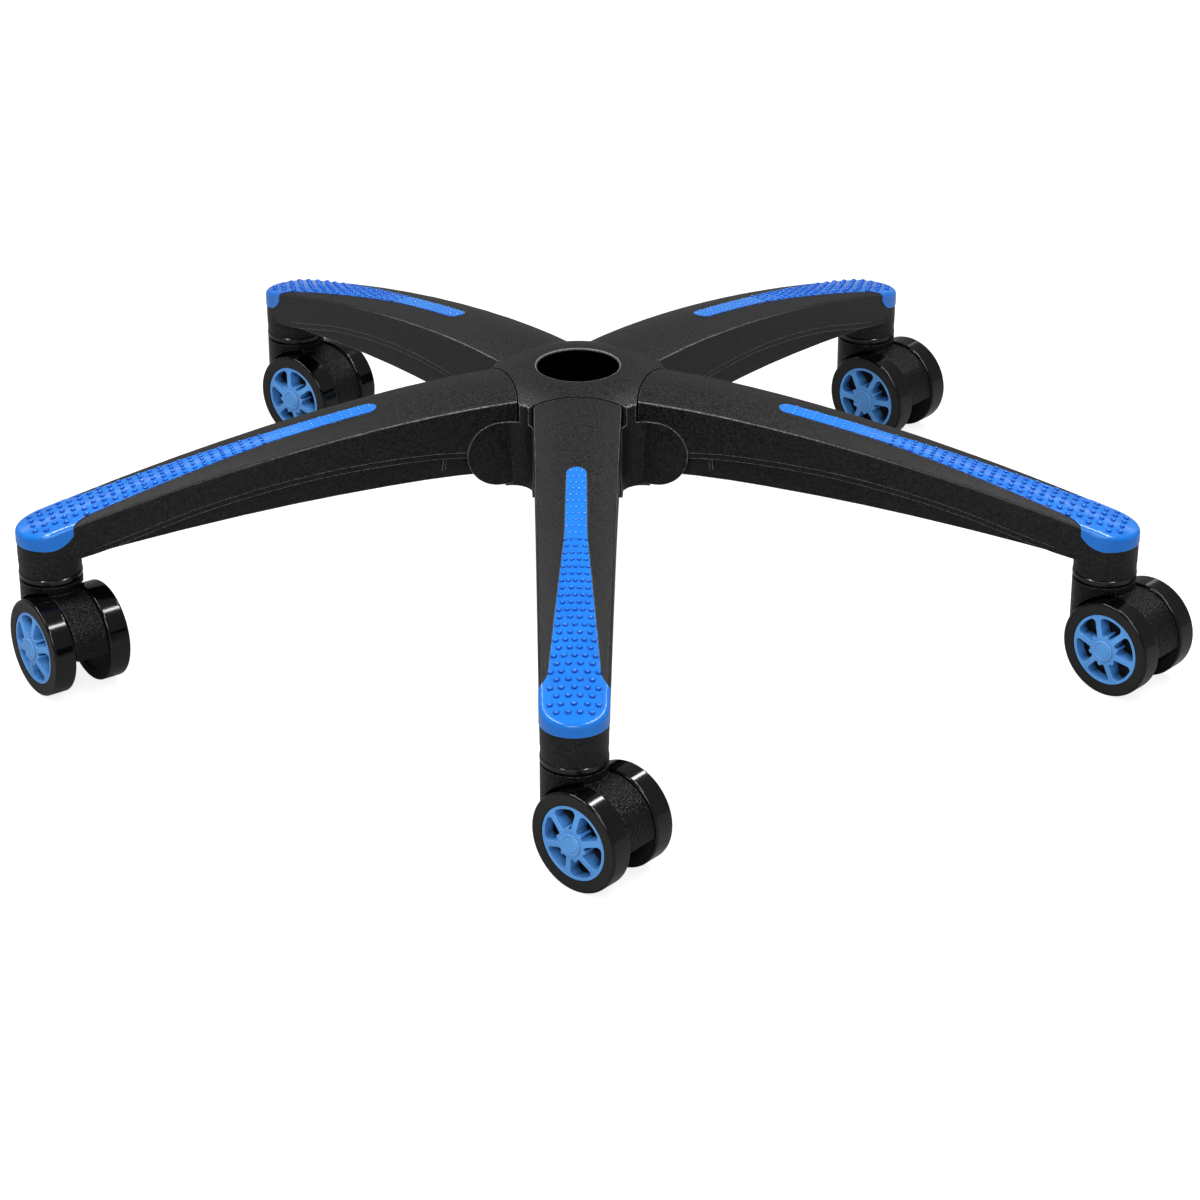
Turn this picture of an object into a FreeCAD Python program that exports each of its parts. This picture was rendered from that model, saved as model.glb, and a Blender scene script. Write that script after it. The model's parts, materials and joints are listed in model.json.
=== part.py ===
import FreeCAD, Part

import math
import os

import Sketcher

from FreeCAD import Placement, Rotation, Vector

# Five star base of an office chair with five twin wheel casters, in millimetres.
# The hub axis is Z, the floor is Z = 0 and the front leg points along -Y.
# A leg is modelled along +X with Z = 0 at the underside of its caster boss.
# A caster is modelled with its swivel axis on Z, its wheels trailing towards +X.

DRIVING = (
    ("swivel_radius", 333.4, "hub axis to the swivel axis of each caster"),
    ("bore_radius", 25.0, "gas lift seat at the top of the hub"),
    ("bore_land", 12.0, "straight length of the seat below its chamfer"),
    ("bore_taper", 1.438, "half angle of the seat below the land, degrees"),
    ("bore_chamfer", 1.3, "lead-in at the hub rim"),
    ("rim_height", 88.2, "hub rim above the boss undersides"),
    ("hub_floor", 26.0, "lower face of the hub above the boss undersides"),
    ("tube_wall", 6.0, "wall of the hub tube around the seat"),
    ("web_reach", 55.0, "hub axis to the web between two legs"),
    ("dome_radius", 58.0, "curve of the hub's top from its rim down to the webs"),
    ("web_edge", 2.5, "rounding where the hub top turns down into a web"),
    ("hub_top_wall", 6.0, "top of the hub over its cored underside"),
    ("root_reach", 43.0, "hub axis to the inner end of a leg's crest"),
    ("root_height", 85.4, "crest of a leg at its root"),
    ("arch_drop", 52.8, "fall of the crest from the root to the swivel axis"),
    ("arch_power", 1.6, "shape of that fall"),
    ("crown_radius", 85.0, "crown across the top of a leg"),
    ("leg_edge", 2.0, "rounded top edges of a leg"),
    ("leg_width_root", 53.2, "leg width at its root"),
    ("boss_radius", 19.3, "round caster boss at the tip"),
    ("boss_foot", 5.8, "height of the boss's slightly smaller foot"),
    ("boss_step", 0.1, "how much smaller the boss is than the leg's round end"),
    ("side_draft", 1.0, "draft of the leg sides at the root, degrees"),
    ("wall", 3.2, "wall of the leg shell"),
    ("skirt_depth", 24.0, "crest to the lower edge of the shell where it is least"),
    ("skirt_bow", 43.0, "how much deeper the shell is at the root"),
    ("skirt_waist", 0.658, "place along the leg of the least depth, as a share"),
    ("lip_height", 3.8, "height of the set back lip along the lower edge"),
    ("lip_step", 0.8, "how far that lip is set back"),
    ("channel_setback", 5.5, "leg side to the outer face of the inner wall"),
    ("channel_wall", 2.5, "thickness of the inner walls"),
    ("channel_depth_root", 52.2, "crest to the lower edge of the inner walls at the root"),
    ("channel_depth_tip", 24.5, "the same at the swivel axis"),
    ("channel_bow", 1.5, "how far that lower edge bows down between the two"),
    ("rib", 2.2, "thickness of the ribs under a leg"),
    ("rib_rise", 4.0, "lower edge of the inner walls to the edge of a cross rib"),
    ("tongue_reach", 58.5, "hub axis to the centre of a hub tongue's round end"),
    ("tongue_radius", 20.5, "round end of a hub tongue on a leg's side"),
    ("tongue_floor", 27.5, "lower edge of a hub tongue"),
    ("tongue_proud", 0.6, "how far a tongue stands off the leg's side"),
    ("web_end", 46.8, "hub axis to the end of a web's wall above the tongue"),
    ("web_blend", 0.2, "how far a web's wall lies inside the tongue that it runs into"),
    ("seam_reach", 43.7, "hub axis to the groove between the hub's top and a leg"),
    ("seam_radius", 110.0, "curve of that groove"),
    ("seam_width", 0.8, "width of that groove"),
    ("seam_depth", 0.6, "depth of that groove"),
    ("stem_radius", 5.5, "caster stem"),
    ("stem_length", 22.0, "stem above the boss underside"),
    ("stem_fit", 0.1, "radial clearance of the stem in its boss"),
    ("stem_chamfer", 1.0, "chamfer on the stem's end"),
    ("socket_spare", 1.0, "depth of the socket past the stem's end"),
    ("insert_length", 204.5, "swivel axis to the inner end of an insert"),
    ("insert_neck", 11.7, "insert width at its inner end"),
    ("insert_waist", 13.0, "insert width where it starts to widen"),
    ("insert_waist_reach", 136.4, "swivel axis to that place"),
    ("insert_shoulder", 28.6, "insert width where the cap begins"),
    ("insert_depth", 1.7, "depth of the insert's seat"),
    ("insert_proud", 0.4, "how far the insert stands off the leg"),
    ("insert_fit", 0.1, "clearance of the insert in its seat"),
    ("insert_edge", 3.0, "rounded top edge of the insert's cap"),
    ("cap_setback", 24.4, "swivel axis to the start of the cap"),
    ("cap_flare", 17.0, "radius with which the strip widens into the cap"),
    ("cap_overhang", 4.0, "how far the insert's outline runs out past the leg before it is trimmed"),
    ("cap_skirt", 19.3, "lower edge of the cap above the boss underside"),
    ("cap_shoulder", 33.0, "where the cap's lower edge starts its rise"),
    ("cap_rake", 52.4, "slope of the cap's side edge, degrees"),
    ("cap_sweep", 18.0, "radius from that slope to the level lower edge"),
    ("cap_run", 3.65, "swivel axis to where the lower edge runs level"),
    ("cap_back", 12.0, "start of the cap to the inner end of the cut below its side edge"),
    ("peg_radius", 2.5, "peg under an insert"),
    ("peg_depth", 1.5, "how far the peg ends above the underside of its boss"),
    ("peg_boss_radius", 5.0, "peg boss under the leg's tip"),
    ("peg_boss_drop", 2.0, "underside of that boss below the leg's lower edge"),
    ("peg_setback", 36.0, "swivel axis to the peg"),
    ("wheel_radius", 30.0, "tyre radius"),
    ("wheel_width", 14.0, "tyre width"),
    ("wheel_gap", 0.8, "gap between a wheel and the housing"),
    ("trail", 20.0, "swivel axis to axle"),
    ("tyre_shoulder", 1.5, "rounded edges of a tread"),
    ("core_radius", 22.55, "wheel core, inside its tyre"),
    ("core_fit", 0.05, "clearance between a tyre and its core"),
    ("core_recess", 0.3, "rim of the core below the tyre's outer face"),
    ("core_rim", 2.1, "width of the core's rim"),
    ("core_depth", 7.2, "depth of the spokes at the rim"),
    ("core_dome", 2.9, "how far the core's centre stands out past its rim"),
    ("spoke_width", 3.4, "spoke width at mid length"),
    ("spokes", 6, "number of spokes"),
    ("window_rim_corner", 2.6, "outer rounded corners of the windows between the spokes"),
    ("window_nave_corner", 1.3, "inner rounded corners of those windows"),
    ("nave_radius", 9.0, "boss at the core's centre"),
    ("nave_disc", 6.8, "raised disc on that boss"),
    ("nave_step", 1.1, "height of that disc"),
    ("nave_edge", 0.5, "chamfer of that disc"),
    ("nave_groove_inset", 1.4, "edge of that disc to the ring groove in it"),
    ("nave_groove_width", 0.8, "width of that groove"),
    ("nave_groove_depth", 0.4, "depth of that groove"),
    ("nave_rib", 1.4, "half round rib on the boss in each window"),
    ("nave_rib_reach", 8.9, "axle to the centre of those ribs"),
    ("cover_edge", 0.4, "chamfer on the cover's rim"),
    ("cover_gap", 0.1, "gap between the barrel's end and the cover"),
    ("barrel_length", 11.6, "length of the barrel from the wheel's inner face"),
    ("disc_recess", 1.6, "inner face of the wheel's disc below its rim"),
    ("disc_wall", 2.6, "thickness of the wheel's disc"),
    ("disc_margin", 1.2, "core radius to the rim of the disc's recess"),
    ("disc_ring", 14.0, "ring on the disc's inner face"),
    ("disc_ring_width", 1.4, "width of that ring"),
    ("disc_ring_height", 1.1, "height of that ring"),
    ("barrel_radius", 5.6, "barrel round the axle"),
    ("axle_radius", 3.0, "axle"),
    ("axle_fit", 0.06, "radial clearance of a wheel on the axle"),
    ("axle_chamfer", 0.5, "chamfer on the axle's ends"),
    ("axle_short", 0.5, "end of the axle inside the end of the barrel"),
    ("stem_grip", 0.02, "radial clearance of the stem in the housing"),
    ("axle_grip", 0.02, "radial clearance of the axle in the housing"),
    ("hood_width", 21.0, "housing between the wheels"),
    ("hood_radius", 28.8, "outer radius of the hood about the axle"),
    ("hood_wall", 2.6, "thickness of the hood"),
    ("hood_end", -3.0, "angle of the hood's flat end, degrees from level"),
    ("fin_width", 6.0, "plate inside the hood that holds the axle"),
    ("fin_radius", 13.0, "round end of that plate about the axle"),
    ("axle_boss_radius", 6.5, "boss round the axle"),
    ("collar_radius", 19.2, "neck of the housing below its cap"),
    ("neck_rise", 4.0, "top of the wheels to the top of the neck"),
    ("neck_floor", 27.0, "lower end of the neck above the floor"),
    ("wheel_well", 1.6, "gap between the tread and the neck above it"),
    ("socket_radius", 9.0, "boss round the stem inside the neck"),
    ("stem_seat", 28.0, "depth of the stem in the housing"),
    ("flange_radius", 8.0, "flange of the stem"),
    ("flange_height", 2.0, "thickness of that flange"),
    ("cap_ring_height", 4.8, "glossy ring above the neck"),
    ("cap_ring_neck", 1.4, "height of the ring's narrow foot"),
    ("cap_ring_step", 1.8, "how much smaller that foot is than the ring"),
    ("cap_ring_edge", 0.5, "chamfer on the ring"),
    ("swivel_gap", 0.4, "running gap between the ring and the leg's boss"),
    ("grip_width", 3.6, "height of the grip ring's groove"),
    ("grip_setback", 3.3, "end of the stem to that groove"),
    ("grip_proud", 0.05, "how far the grip ring stands off the stem"),
    ("grip_wall", 1.1, "thickness of the grip ring"),
    ("grip_fit", 0.15, "clearance of the grip ring in its groove"),
    ("grip_slot", 1.6, "slot of the grip ring"),
)

# Name, bearing of the leg, direction in which the caster trails, turn of the near
# and the far wheel about the axle: all in degrees.
PLACES = (
    ("front", -90.0, -40.0, -11.0, 25.0),
    ("right", -18.0, -41.5, 18.4, -5.0),
    ("back_right", 54.0, -41.0, -25.2, 14.0),
    ("back_left", 126.0, -40.0, 11.0, -20.0),
    ("left", 198.0, -55.0, -12.0, 7.0),
)

# Places along a leg, as shares of the run from its root to the swivel axis: the sections
# that its lofts pass through, the ends of its two hollows and its cross ribs.
LEG_STATIONS = (0.0, 0.14, 0.28, 0.43, 0.58, 0.73, 0.87, 1.0, 1.1)
STRIP_STATIONS = (0.2,) + LEG_STATIONS[2:]
TONGUE_STATIONS = (0.0, 0.07, 0.14)
HOLLOW_END = 0.94
CHANNEL_END = 0.96
CROSS_RIBS = (0.17, 0.30, 0.43, 0.56, 0.69, 0.82)
LEGS = 5

# A length past the whole part, one past the pieces beside a cut, and how near an edge
# lies to the place where it is looked for.
FAR = 1000.0
CLEAR = 20.0
EDGE_REACH = 0.5

doc = FreeCAD.newDocument("five_star_base")
sheet = doc.addObject("Spreadsheet::Sheet", "Sizes")
for row, (alias, number, meaning) in enumerate(DRIVING, start=1):
    sheet.set("A%d" % row, meaning)
    sheet.set("B%d" % row, str(number))
    sheet.setAlias("B%d" % row, alias)
doc.recompute()


def value(expression):
    """The number that an expression on the sheet gives."""
    found = sheet.evalExpression(expression)
    return float(getattr(found, "Value", found))


def cell(alias):
    return "Sizes." + alias


def size(alias):
    return value(cell(alias))


# Profile of a leg: expressions for a station at a share of the run from the root to
# the swivel axis.


def reach_at(share):
    run = "(Sizes.swivel_radius - Sizes.root_reach)"
    return "(Sizes.root_reach + %g * %s)" % (share, run)


def crest_at(share):
    return "(Sizes.root_height - Sizes.arch_drop * %g ^ Sizes.arch_power)" % share


def half_at(share):
    narrowing = "(Sizes.leg_width_root / 2 - Sizes.boss_radius)"
    return "(Sizes.leg_width_root / 2 - %g * %s)" % (min(share, 1.0), narrowing)


def skirt_at(share):
    share = min(share, HOLLOW_END)
    bow = "Sizes.skirt_bow * (%g - Sizes.skirt_waist) ^ 2" % share
    return "(%s - Sizes.skirt_depth - %s)" % (crest_at(share), bow)


def channel_at(share):
    shallower = "(Sizes.channel_depth_root - Sizes.channel_depth_tip)"
    bow = "Sizes.channel_bow * %g" % (4 * share * (1 - share))
    depth = "(Sizes.channel_depth_root - %g * %s + %s)" % (share, shallower, bow)
    return "(%s - %s)" % (crest_at(share), depth)


def draft_at(share):
    return "(Sizes.side_draft * %g)" % max(0.0, 1 - share)


def new_body(label):
    body = doc.addObject("PartDesign::Body", label)
    body.Label = label
    return body


def new_sketch(body, name, role, offset=None):
    """An empty sketch on one of the body's origin planes, moved along its normal."""
    sketch = body.newObject("Sketcher::SketchObject", name)
    plane = next(f for f in body.Origin.OriginFeatures if f.Role == role)
    sketch.AttachmentSupport = [(plane, "")]
    sketch.MapMode = "FlatFace"
    if offset:
        sketch.setExpression("AttachmentOffset.Base.z", offset)
    return sketch


def bind(sketch, name, expression, constraint_type, *where):
    """Add one dimension to a sketch and tie it to an expression."""
    number = value(expression)
    if constraint_type == "Angle":
        number = math.radians(number)
    index = sketch.addConstraint(Sketcher.Constraint(constraint_type, *where, number))
    sketch.renameConstraint(index, name)
    unit = " * 1 deg" if constraint_type == "Angle" else ""
    sketch.setExpression("Constraints." + name, expression + unit)


def draw_outline(sketch, corners, bulges=None):
    """A closed outline through named corners, each placed by two expressions.

    bulges gives, for a side's number, the centre of an arc that replaces it, as two
    expressions and its sense of turn.
    """
    bulges = bulges or {}
    count = len(corners)
    spots = [Vector(value(x), value(y), 0) for x, y in corners]
    for i in range(count):
        start = spots[i]
        end = spots[(i + 1) % count]
        if i not in bulges:
            sketch.addGeometry(Part.LineSegment(start, end), False)
            continue
        cx, cy, turn = bulges[i]
        centre = Vector(value(cx), value(cy), 0)
        radius = (start - centre).Length
        first = math.atan2(start.y - centre.y, start.x - centre.x)
        last = math.atan2(end.y - centre.y, end.x - centre.x)
        if turn < 0:
            first, last = last, first
        if last <= first:
            last += 2 * math.pi
        circle = Part.Circle(centre, Vector(0, 0, 1), radius)
        sketch.addGeometry(Part.ArcOfCircle(circle, first, last), False)
    ends = {}
    for i in range(count):
        backwards = i in bulges and bulges[i][2] < 0
        ends[i] = (2, 1) if backwards else (1, 2)
    for i in range(count):
        after = (i + 1) % count
        sketch.addConstraint(Sketcher.Constraint("Coincident", i, ends[i][1], after, ends[after][0]))
    for i, (x, y) in enumerate(corners):
        bind(sketch, "x%d" % i, x, "DistanceX", -1, 1, i, ends[i][0])
        bind(sketch, "y%d" % i, y, "DistanceY", -1, 1, i, ends[i][0])
    for i, (cx, cy, turn) in bulges.items():
        chord = spots[(i + 1) % count] - spots[i]
        # The two ends leave the centre one freedom, which is across the chord.
        if abs(chord.y) < abs(chord.x):
            bind(sketch, "c%d" % i, cy, "DistanceY", -1, 1, i, 3)
        else:
            bind(sketch, "c%d" % i, cx, "DistanceX", -1, 1, i, 3)


def leg_section(body, name, share, inset, top_inset, bottom, rounded=False, reach=None):
    """One cross section of a leg, in from its sides and its crest by the insets."""
    offset = reach or reach_at(share)
    sketch = new_sketch(body, name, "YZ_Plane", offset)
    half = "(%s - %s)" % (half_at(share), inset)
    crest = "(%s - %s)" % (crest_at(share), top_inset)
    crown = "(Sizes.crown_radius - %s)" % top_inset
    crown_y = value(crest) - value(crown)
    w = value(half)
    foot = "(%s + (%s - %s) * tan(%s * 1 deg))" % (half, crest, bottom, draft_at(share))
    foot_right = Vector(value(foot), value(bottom), 0)
    foot_left = Vector(-foot_right.x, foot_right.y, 0)
    round_edge = size("leg_edge") if rounded else 0.0
    edge_y = crown_y + math.sqrt((value(crown) - round_edge) ** 2 - (w - round_edge) ** 2)
    tilt = math.atan2(edge_y - crown_y, w - round_edge)
    top_right = Vector(w, edge_y, 0)
    top_left = Vector(-w, edge_y, 0)
    crown_circle = Part.Circle(Vector(0, crown_y, 0), Vector(0, 0, 1), value(crown))
    if rounded:
        right_corner = Part.Circle(Vector(w - round_edge, edge_y, 0), Vector(0, 0, 1), round_edge)
        left_corner = Part.Circle(Vector(round_edge - w, edge_y, 0), Vector(0, 0, 1), round_edge)
        sketch.addGeometry(Part.LineSegment(foot_left, foot_right), False)
        sketch.addGeometry(Part.LineSegment(foot_right, top_right), False)
        sketch.addGeometry(Part.ArcOfCircle(right_corner, 0.0, tilt), False)
        sketch.addGeometry(Part.ArcOfCircle(crown_circle, tilt, math.pi - tilt), False)
        sketch.addGeometry(Part.ArcOfCircle(left_corner, math.pi - tilt, math.pi), False)
        sketch.addGeometry(Part.LineSegment(top_left, foot_left), False)
        for first in (1, 2, 3, 4):
            sketch.addConstraint(Sketcher.Constraint("Tangent", first, 2, first + 1, 1))
        last = 5
        crown_arc = 3
        bind(sketch, "edge", cell("leg_edge"), "Radius", 2)
        sketch.addConstraint(Sketcher.Constraint("Symmetric", 1, 2, 5, 1, -2))
    else:
        sketch.addGeometry(Part.LineSegment(foot_left, foot_right), False)
        sketch.addGeometry(Part.LineSegment(foot_right, top_right), False)
        sketch.addGeometry(Part.ArcOfCircle(crown_circle, tilt, math.pi - tilt), False)
        sketch.addGeometry(Part.LineSegment(top_left, foot_left), False)
        for first in (1, 2):
            sketch.addConstraint(Sketcher.Constraint("Coincident", first, 2, first + 1, 1))
        last = 3
        crown_arc = 2
        sketch.addConstraint(Sketcher.Constraint("Symmetric", 1, 2, 3, 1, -2))
    sketch.addConstraint(Sketcher.Constraint("Coincident", last, 2, 0, 1))
    sketch.addConstraint(Sketcher.Constraint("Coincident", 0, 2, 1, 1))
    sketch.addConstraint(Sketcher.Constraint("Symmetric", 0, 1, 0, 2, -2))
    if rounded:
        sketch.addConstraint(Sketcher.Constraint("PointOnObject", crown_arc, 3, -2))
    bind(sketch, "crown", crown, "Radius", crown_arc)
    bind(sketch, "centre", "(%s - %s)" % (crest, crown), "DistanceY", -1, 1, crown_arc, 3)
    bind(sketch, "foot", "(2 * %s)" % foot, "DistanceX", 0, 1, 0, 2)
    bind(sketch, "bottom", bottom, "DistanceY", -1, 1, 0, 1)
    bind(sketch, "side", "(90 + %s)" % draft_at(share), "Angle", 1)
    return sketch


def loft(body, name, sketches, subtractive=False):
    kind = "PartDesign::SubtractiveLoft" if subtractive else "PartDesign::AdditiveLoft"
    feature = body.newObject(kind, name)
    feature.Profile = sketches[0]
    feature.Sections = sketches[1:]
    body.Tip = feature
    return feature


def leg_loft(body, name, inset, top_inset, bottom, start=None, stations=LEG_STATIONS, rounded=False,
             subtractive=False):
    """A loft along the leg; bottom gives the lower edge's expression at a share."""
    sketches = []
    if start:
        sketches.append(leg_section(body, name + "Start", stations[0], inset, top_inset,
                                    bottom(stations[0]), rounded, start))
    for number, share in enumerate(stations):
        sketches.append(leg_section(body, "%s%d" % (name, number), share, inset, top_inset,
                                    bottom(share), rounded))
    return loft(body, name, sketches, subtractive)


def pad(body, name, sketch, length, both_ways=False, backwards=False):
    feature = body.newObject("PartDesign::Pad", name)
    feature.Profile = sketch
    feature.setExpression("Length", length)
    if both_ways:
        feature.SideType = "Symmetric"
    feature.Reversed = backwards
    body.Tip = feature
    return feature


def pocket(body, name, sketch, length=None, both_ways=False, backwards=False):
    """Cut a sketch's outline, and check that it takes something away."""
    doc.recompute()
    before = body.Shape.Volume
    feature = body.newObject("PartDesign::Pocket", name)
    feature.Profile = sketch
    if length:
        feature.setExpression("Length", length)
    else:
        feature.Length = FAR
    if both_ways:
        feature.SideType = "Symmetric"
    feature.Reversed = backwards
    body.Tip = feature
    doc.recompute()
    if body.Shape.Volume >= before:
        raise RuntimeError(name + " cuts nothing")
    return feature


def turn_profile(body, name, sketch, subtractive=False, axis="V_Axis"):
    kind = "PartDesign::Groove" if subtractive else "PartDesign::Revolution"
    doc.recompute()
    before = body.Shape.Volume if subtractive else 0.0
    feature = body.newObject(kind, name)
    feature.Profile = sketch
    feature.ReferenceAxis = (sketch, [axis])
    feature.Angle = 360
    body.Tip = feature
    doc.recompute()
    if subtractive and body.Shape.Volume >= before:
        raise RuntimeError(name + " cuts nothing")
    return feature


def around(body, name, originals, count, whole=False):
    """Repeat features, or the whole body, about the Z axis."""
    feature = body.newObject("PartDesign::PolarPattern", name)
    if whole:
        feature.TransformMode = "Whole shape"
    else:
        feature.Originals = originals
    axis = next(f for f in body.Origin.OriginFeatures if f.Role == "Z_Axis")
    feature.Axis = (axis, [""])
    feature.Angle = 360
    feature.Occurrences = count
    body.Tip = feature
    return feature


def combine(body, name, kind, tool):
    feature = body.newObject("PartDesign::Boolean", name)
    feature.Type = kind
    feature.setObjects([tool])
    body.Tip = feature
    return feature


# The leg


def leg_plan_trim(body, name, grow):
    """Cut away what lies past the round end of a leg, grown by an expression."""
    sketch = new_sketch(body, name + "Plan", "XY_Plane", "-%g" % (FAR / 2))
    radius = "(Sizes.boss_radius + %s)" % grow
    axis_x = cell("swivel_radius")
    side = "(2 * Sizes.boss_radius + %g)" % CLEAR
    far_x = "(Sizes.swivel_radius + 4 * Sizes.boss_radius)"
    corners = (
        (axis_x, radius),
        (axis_x, side),
        (far_x, side),
        (far_x, "-" + side),
        (axis_x, "-" + side),
        (axis_x, "-" + radius),
    )
    draw_outline(sketch, corners, {5: (axis_x, "0", 1)})
    pocket(body, name, sketch, backwards=True)


def insert_plan(body, name, grow):
    """Plan outline of an insert, grown all round by an expression."""
    sketch = new_sketch(body, name, "XY_Plane")
    neck = "(Sizes.insert_neck / 2 + %s)" % grow
    waist = "(Sizes.insert_waist / 2 + %s)" % grow
    shoulder = "(Sizes.insert_shoulder / 2 + %s)" % grow
    wide = "(Sizes.boss_radius + Sizes.cap_overhang)"
    start_x = "(Sizes.swivel_radius - Sizes.insert_length + Sizes.insert_neck / 2)"
    waist_x = "(Sizes.swivel_radius - Sizes.insert_waist_reach)"
    cap_x = "(Sizes.swivel_radius - Sizes.cap_setback)"
    centre_y = "(Sizes.insert_shoulder / 2 + Sizes.cap_flare)"
    flare_x = "(%s + sqrt((Sizes.cap_flare - %s) ^ 2 - (%s - %s) ^ 2))" % (cap_x, grow, centre_y, wide)
    far_x = "(Sizes.swivel_radius + Sizes.boss_radius + Sizes.cap_overhang)"
    corners = (
        (start_x, "-" + neck),
        (waist_x, "-" + waist),
        (cap_x, "-" + shoulder),
        (flare_x, "-" + wide),
        (far_x, "-" + wide),
        (far_x, wide),
        (flare_x, wide),
        (cap_x, shoulder),
        (waist_x, waist),
        (start_x, neck),
    )
    bulges = {
        2: (cap_x, "-" + centre_y, -1),
        6: (cap_x, centre_y, -1),
        9: (start_x, "0", 1),
    }
    draw_outline(sketch, corners, bulges)
    return sketch


def below_cap(body, name, drop):
    """Outline in the leg's side view of what lies below the cap's lower edge."""
    sketch = new_sketch(body, name, "XZ_Plane")
    high = "(Sizes.cap_shoulder - %s)" % drop
    low = "(Sizes.cap_skirt - %s)" % drop
    level_x = "(Sizes.swivel_radius + Sizes.cap_run)"
    sweep_x = "(%s - Sizes.cap_sweep * sin(Sizes.cap_rake * 1 deg))" % level_x
    sweep_y = "(%s + Sizes.cap_sweep * (1 - cos(Sizes.cap_rake * 1 deg)))" % low
    rake_x = "(%s - (%s - %s) / tan(Sizes.cap_rake * 1 deg))" % (sweep_x, high, sweep_y)
    back_x = "(Sizes.swivel_radius - Sizes.cap_setback - Sizes.cap_back)"
    far_x = "(Sizes.swivel_radius + Sizes.boss_radius + %g)" % CLEAR
    under = "-%g" % CLEAR
    corners = (
        (back_x, under),
        (far_x, under),
        (far_x, low),
        (level_x, low),
        (sweep_x, sweep_y),
        (rake_x, high),
        (back_x, high),
    )
    draw_outline(sketch, corners, {3: (level_x, "(%s + Sizes.cap_sweep)" % low, -1)})
    return sketch


def insert_core(label, depth):
    """The form that a leg has under its insert, to be taken out of a larger one."""
    body = new_body(label)
    leg_loft(body, label + "Loft", depth, depth, lambda share: "-%g" % CLEAR, stations=STRIP_STATIONS)
    leg_plan_trim(body, label + "End", "-" + depth)
    return body


def seat_tool():
    """What the seat of an insert takes out of a leg."""
    body = new_body("insert_seat")
    plan = insert_plan(body, "SeatPlan", cell("insert_fit"))
    pad(body, "SeatPrism", plan, "(Sizes.root_height + %g)" % CLEAR)
    doc.recompute()
    core = insert_core("seat_core", "(Sizes.insert_depth + Sizes.insert_fit)")
    combine(body, "SeatFloor", "Cut", core)
    pocket(body, "SeatEnd", below_cap(body, "SeatSide", cell("insert_fit")), both_ways=True)
    return body


def tongue_top():
    return "(Sizes.tongue_floor + 2 * Sizes.tongue_radius)"


def tongue_form():
    """The D-shaped tongues of the hub that lie on a leg's two sides."""
    body = new_body("hub_tongue")
    leg_loft(body, "TongueLoft", "-Sizes.tongue_proud", "(Sizes.leg_edge + Sizes.tube_wall)",
             lambda share: cell("tongue_floor"), start="(Sizes.bore_radius + Sizes.tube_wall)",
             stations=TONGUE_STATIONS)
    sketch = new_sketch(body, "TongueSide", "XZ_Plane")
    top = tongue_top()
    high = "(Sizes.root_height + %g)" % CLEAR
    back_x = cell("bore_radius")
    far_x = "(%s + %g)" % (reach_at(TONGUE_STATIONS[-1]), CLEAR)
    corners = (
        (cell("tongue_reach"), top),
        (back_x, top),
        (back_x, high),
        (far_x, high),
        (far_x, "0"),
        (cell("tongue_reach"), "0"),
        (cell("tongue_reach"), cell("tongue_floor")),
    )
    middle = "(Sizes.tongue_floor + Sizes.tongue_radius)"
    draw_outline(sketch, corners, {6: (cell("tongue_reach"), middle, 1)})
    pocket(body, "TongueEnd", sketch, both_ways=True)
    return body


def seam_tool(start):
    """The groove across a leg's root and down its two sides to the tongues."""
    body = new_body("hub_seam")
    sketch = new_sketch(body, "SeamPlan", "XY_Plane", "(%s + Sizes.seam_width / 4)" % tongue_top())
    centre_x = "(Sizes.seam_reach + Sizes.seam_radius)"
    side = "(Sizes.leg_width_root / 2 + 2 * Sizes.seam_width)"
    near_x = "(%s - sqrt((Sizes.seam_radius + Sizes.seam_width / 2) ^ 2 - %s ^ 2))" % (centre_x, side)
    far_x = "(%s - sqrt((Sizes.seam_radius - Sizes.seam_width / 2) ^ 2 - %s ^ 2))" % (centre_x, side)
    corners = ((near_x, "-" + side), (far_x, "-" + side), (far_x, side), (near_x, side))
    draw_outline(sketch, corners, {1: (centre_x, "0", -1), 3: (centre_x, "0", 1)})
    pad(body, "SeamPrism", sketch, "(Sizes.root_height - Sizes.tongue_floor)")
    doc.recompute()
    core = new_body("seam_core")
    leg_loft(core, "SeamCore", cell("seam_depth"), cell("seam_depth"), lambda share: "-%g" % CLEAR,
             start=start, stations=TONGUE_STATIONS, rounded=True)
    combine(body, "SeamFloor", "Cut", core)
    return body


def cross_rib(body, number, share):
    """A rib across the inner channel, up into the top wall."""
    sketch = leg_section(body, "RibSection%d" % number, share,
                         "(Sizes.channel_setback + Sizes.channel_wall / 2)",
                         "(Sizes.wall / 2)", "(%s + Sizes.rib_rise)" % channel_at(share))
    pad(body, "Rib%d" % number, sketch, cell("rib"), both_ways=True)


def gusset(body, name, share):
    """The gusset beside the hub that ties the shell to the inner walls."""
    sketch = new_sketch(body, name + "Section", "YZ_Plane", reach_at(share))
    outer = "(%s - Sizes.wall / 2)" % half_at(share)
    inner = "(%s - Sizes.channel_setback - Sizes.channel_wall / 2)" % half_at(share)
    top = "(%s - Sizes.skirt_depth / 2)" % crest_at(share)
    side_low = "(%s + Sizes.lip_step)" % skirt_at(share)
    low = "(%s - Sizes.lip_step)" % channel_at(share)
    corners = (
        ("-" + outer, side_low),
        ("-" + inner, low),
        (inner, low),
        (outer, side_low),
        (outer, top),
        ("-" + outer, top),
    )
    draw_outline(sketch, corners)
    pad(body, name, sketch, cell("rib"), both_ways=True)


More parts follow.
